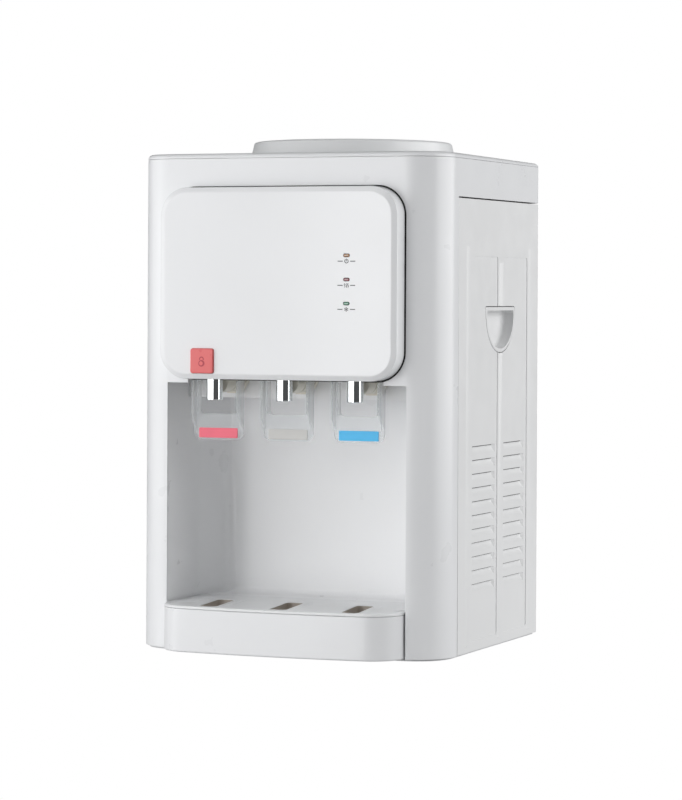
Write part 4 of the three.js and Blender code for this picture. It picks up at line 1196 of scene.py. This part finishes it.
def build_seat():
    foot = DECK_Z + GAP
    roll = 3.2
    top_centre = (96.9 - roll, COLLAR_TOP - roll)
    outside = [
        (top_centre[0] + roll * math.sin(t), top_centre[1] + roll * math.cos(t))
        for t in [math.pi / 2 * (1 - k / 6) for k in range(7)]
    ]
    collar = lathe(
        [
            (99.2, foot), (99.9, foot + 0.5), (99.6, foot + 1.4),
            *outside,
            (91.5, COLLAR_TOP), (90.3, COLLAR_TOP - 0.6), (86.5, DECK_Z - 12), (89.5, DECK_Z - 12),
            (89.5, foot),
        ],
        0, SEAT_Y, 128,
    )
    finish_piece("seat_ring", collar, GREY_WHITE, "bottle_seat", ["bottle_collar"])
    throat, throat_bottom = 31, 399
    funnel = lathe(
        [
            (86, DECK_Z + 3), (84, DECK_Z + 3), (throat + 3, 439), (throat, 434),
            (throat, throat_bottom + 3.4), (throat - 1, throat_bottom + 2.4), (12, throat_bottom + 2.4),
            (12, throat_bottom), (throat + 1.4, throat_bottom), (throat + 2.4, throat_bottom + 1),
            (throat + 2.4, 432), (throat + 5, 437), (86, DECK_Z),
        ],
        0, SEAT_Y, 96,
    )
    finish_piece("seat_funnel", funnel, GREY_WHITE, "bottle_seat", ["bottle_funnel"])
    tube = lathe(
        [
            (6, 380), (8.5, 380), (8.5, throat_bottom + 2.7), (20, throat_bottom + 2.7),
            (20, throat_bottom + 4.4), (9.5, throat_bottom + 7), (8.5, 446), (7.6, 451), (5.2, 455.5),
            (2.4, 457.6), (0, 458), (0, 454), (4.5, 451), (6, 446),
        ],
        0, SEAT_Y, 40,
    )
    windows = [
        bar((-12, SEAT_Y, 436), (12, SEAT_Y, 436), 3, 20),
        bar((0, SEAT_Y - 12, 436), (0, SEAT_Y + 12, 436), 3, 20),
    ]
    finish_piece("seat_probe", cut(tube, *windows), SATIN_WHITE, "bottle_seat", ["feed_probe"])


# ---------------------------------------------------------------- back, feet and small fittings


def screw(x, z, y=None, radius=3.4):
    """Pan head with a cross slot, facing the back."""
    face = DEPTH - 1.0 if y is None else y
    profile = [(0, face), (radius, face), (radius, face + 0.6)]
    profile += [(radius * 0.8, face + 1.4), (radius * 0.4, face + 1.8), (0, face + 1.9)]
    head = lathe(profile, x, z, 24, "y")
    slot_long, slot_wide = radius * 0.62, radius * 0.14
    return cut(
        head,
        block(x - slot_long, x + slot_long, face + 1.0, face + 3, z - slot_wide, z + slot_wide),
        block(x - slot_wide, x + slot_wide, face + 1.0, face + 3, z - slot_long, z + slot_long),
    )


def build_back():
    heads = []
    for x in (-128, 0, 128):
        heads += [screw(x, 12), screw(x, 414)]
    for x in (-128, 128):
        heads += [screw(x, 150), screw(x, 285)]
    for dx in (-36, 36):
        for dz in (-36, 36):
            heads.append(screw(dx, 346 + dz, radius=2.8))
    finish_piece("back_screws", together(*heads), ZINC)
    for x in (100, 74):
        frame_ring = cut(
            pillow(
                lambda inset, x=x: rounded_rectangle(
                    x - 9.5 + inset, x + 9.5 - inset, 395 - 13 + inset, 395 + 13 - inset, 2, 4
                ),
                DEPTH - 1.0, DEPTH + 0.9, facing,
                round_end=0.6,
                steps=3,
            ),
            block(x - 6.7, x + 6.7, DEPTH - 3, DEPTH + 3, 395 - 10.3, 395 + 10.3),
        )
        name = "heating" if x > 90 else "cooling"
        finish_piece(f"{name}_switch_bezel", frame_ring, BLACK_PLASTIC)


def build_feet():
    for name in ("foot_front_left", "foot_front_right", "foot_rear_left", "foot_rear_right"):
        (x0, x1), (y0, y1), (z0, z1) = span(name, "x"), span(name, "y"), span(name, "z")
        x, y, radius = (x0 + x1) / 2, (y0 + y1) / 2, (x1 - x0) / 2
        pad = lathe(
            [
                (0, z0 + 0.3), (radius - 4.5, z0 + 0.3), (radius - 4.2, z0), (radius - 1.6, z0),
                (radius - 1.0, z0 + 0.4), (radius, z1), (0, z1),
            ],
            x, y, 40,
        )
        finish_piece(f"{name}_pad", pad, RUBBER, replaces=[name])


def build_drain_cap():
    (x0, x1), (y0, y1), (z0, z1) = (span("drain_cap", axis) for axis in "xyz")
    x, z, radius = (x0 + x1) / 2, (z0 + z1) / 2, (x1 - x0) / 2
    roof = y0 + 8.7
    profile = [(6, y0), (radius, y0), (radius, y1 - 1.2), (radius - 1.2, y1), (0, y1), (0, roof), (6, roof)]
    cap = lathe(profile, x, z, 48, "y")
    ribs = []
    for k in range(18):
        t = 2 * math.pi * k / 18
        a, b = x + radius * math.cos(t), z + radius * math.sin(t)
        ribs.append(bar((a, y0 - 1, b), (a, y1 - 2, b), 0.7, 8))
    finish_piece("drain_screw_cap", cut(cap, *ribs), SATIN_WHITE, "drain_cap", ["drain_cap"])


# ---------------------------------------------------------------- inner parts carried over from the frame

CARRIED = {
    "child_lock_latch": (SATIN_WHITE, 0.3),
    "indicator_board": (BOARD, 0.0),
    "rear_panel": (PAINTED_STEEL, 0.3),
    "base_plate": (PAINTED_STEEL, 0.3),
    "cold_tank": (STEEL, 0.8),
    "cold_tank_foam": (FOAM, 1.0),
    "tank_baffle": (SATIN_WHITE, 0.4),
    "hot_tank": (STEEL, 0.8),
    "tank_stand": (PAINTED_STEEL, 0.4),
    "heater_band": (ALUMINIUM, 0.4),
    "thermostat": (BLACK_PLASTIC, 0.4),
    "heat_sink": (ALUMINIUM, 0.2),
    "fan_frame": (BLACK_PLASTIC, 0.4),
    "fan_rotor": (BLACK_PLASTIC, 0.25),
    "hot_hose": (SILICONE, 0.0),
    "normal_hose": (SILICONE, 0.0),
    "cold_hose": (SILICONE, 0.0),
    "drain_pipe": (SILICONE, 0.0),
    "power_board": (BOARD, 0.2),
    "heating_switch": (BUTTON_RED, 0.5),
    "cooling_switch": (BLACK_PLASTIC, 0.5),
    "cord_gland": (BLACK_PLASTIC, 0.5),
}


# ---------------------------------------------------------------- camera, floor and light

CAMERA_AT = (1146.1, -2670.7, 334.4)
CAMERA_TURN = math.radians(22.2)
CAMERA_ROLL = math.radians(0.28)
LENS = 140.98
SHIFT_Y = -0.1332


def add_camera():
    data = bpy.data.cameras.new("camera")
    data.lens = LENS
    data.sensor_width = 36
    data.shift_y = SHIFT_Y
    data.clip_end = 60
    camera = bpy.data.objects.new("camera", data)
    bpy.context.scene.collection.objects.link(camera)
    level = Matrix.Rotation(CAMERA_TURN, 4, "Z") @ Matrix.Rotation(math.radians(90), 4, "X")
    camera.matrix_world = (
        Matrix.Translation(INTO_ROW @ Vector(CAMERA_AT)) @ level @ Matrix.Rotation(CAMERA_ROLL, 4, "Z")
    )
    bpy.context.scene.camera = camera


def glowing(name, color, glow):
    material = bpy.data.materials.new(name)
    material.use_nodes = True
    shader = material.node_tree.nodes["Principled BSDF"]
    shader.inputs["Base Color"].default_value = (*color, 1)
    shader.inputs["Roughness"].default_value = 0.9
    shader.inputs["Specular IOR Level"].default_value = 0.0
    shader.inputs["Emission Color"].default_value = (1, 1, 1, 1)
    shader.inputs["Emission Strength"].default_value = glow
    return material


def add_stage():
    """A pale floor and a white surround that only the camera sees."""
    half = 14
    mesh = bpy.data.meshes.new("floor")
    corners = [(-half, -half), (half, -half), (half, half), (-half, half)]
    mesh.from_pydata([(x, y, FLOOR_Z) for x, y in corners], [], [(0, 1, 2, 3)])
    floor = bpy.data.objects.new("floor", mesh)
    mesh.materials.append(glowing("floor_paper", (0, 0, 0), 1.0))
    bm = bmesh.new()
    bmesh.ops.create_uvsphere(bm, u_segments=48, v_segments=24, radius=half + 2)
    dome_mesh = bpy.data.meshes.new("backdrop")
    bm.to_mesh(dome_mesh)
    bm.free()
    dome_mesh.materials.append(glowing("backdrop_paper", (0, 0, 0), 1.0))
    backdrop = bpy.data.objects.new("backdrop", dome_mesh)
    for made in (floor, backdrop):
        bpy.context.scene.collection.objects.link(made)
        made.visible_diffuse = False
        made.visible_glossy = False
        made.visible_transmission = False
    backdrop.visible_shadow = False


def add_softbox(name, bearing, distance, height, size, watts, aim=(0, 0, 0.24)):
    """A rectangular light at a bearing in degrees, counted from +X towards +Y."""
    data = bpy.data.lights.new(name, "AREA")
    data.shape = "RECTANGLE"
    data.size, data.size_y = size
    data.energy = watts
    light = bpy.data.objects.new(name, data)
    bpy.context.scene.collection.objects.link(light)
    t = math.radians(bearing)
    at = Vector((distance * math.cos(t), distance * math.sin(t), height))
    light.location = at
    light.rotation_euler = (Vector(aim) - at).to_track_quat("-Z", "Y").to_euler()
    light.visible_camera = False
    return light


def add_lights():
    world = bpy.data.worlds.new("studio")
    bpy.context.scene.world = world
    world.use_nodes = True
    background = world.node_tree.nodes["Background"]
    background.inputs["Color"].default_value = (0.97, 0.985, 1.0, 1)
    background.inputs["Strength"].default_value = 0.08
    add_softbox("key_left", -132, 1.2, 0.4, (1.3, 1.2), 7.4)
    add_softbox("key_front", -100, 2.0, 0.32, (0.7, 1.3), 11)
    add_softbox("left_reflector", -165, 1.8, 0.5, (1.2, 1.2), 4)
    add_softbox("side_right", 16, 2.2, 0.9, (2.8, 1.8), 51)
    add_softbox("front_top", -100, 1.6, 2.2, (1.6, 1.0), 9)
    add_softbox("table_bounce", 0, 0, FLOOR_Z + 0.002, (3, 3), 9, aim=(0, 0, 1))


# ---------------------------------------------------------------- build everything

add_camera()
add_stage()
add_lights()
build_front_shell()
build_cup_bay()
build_top_cover()
build_sides()
build_vent_screens()
build_control_panel()
build_child_lock()
build_indicators()
build_taps()
build_tray()
build_grille()
build_seat()
build_back()
build_feet()
build_drain_cap()
for carried_node, (carried_material, carried_bevel) in CARRIED.items():
    dress(carried_node, carried_material, carried_bevel)

bpy.context.scene.view_settings.view_transform = "Standard"
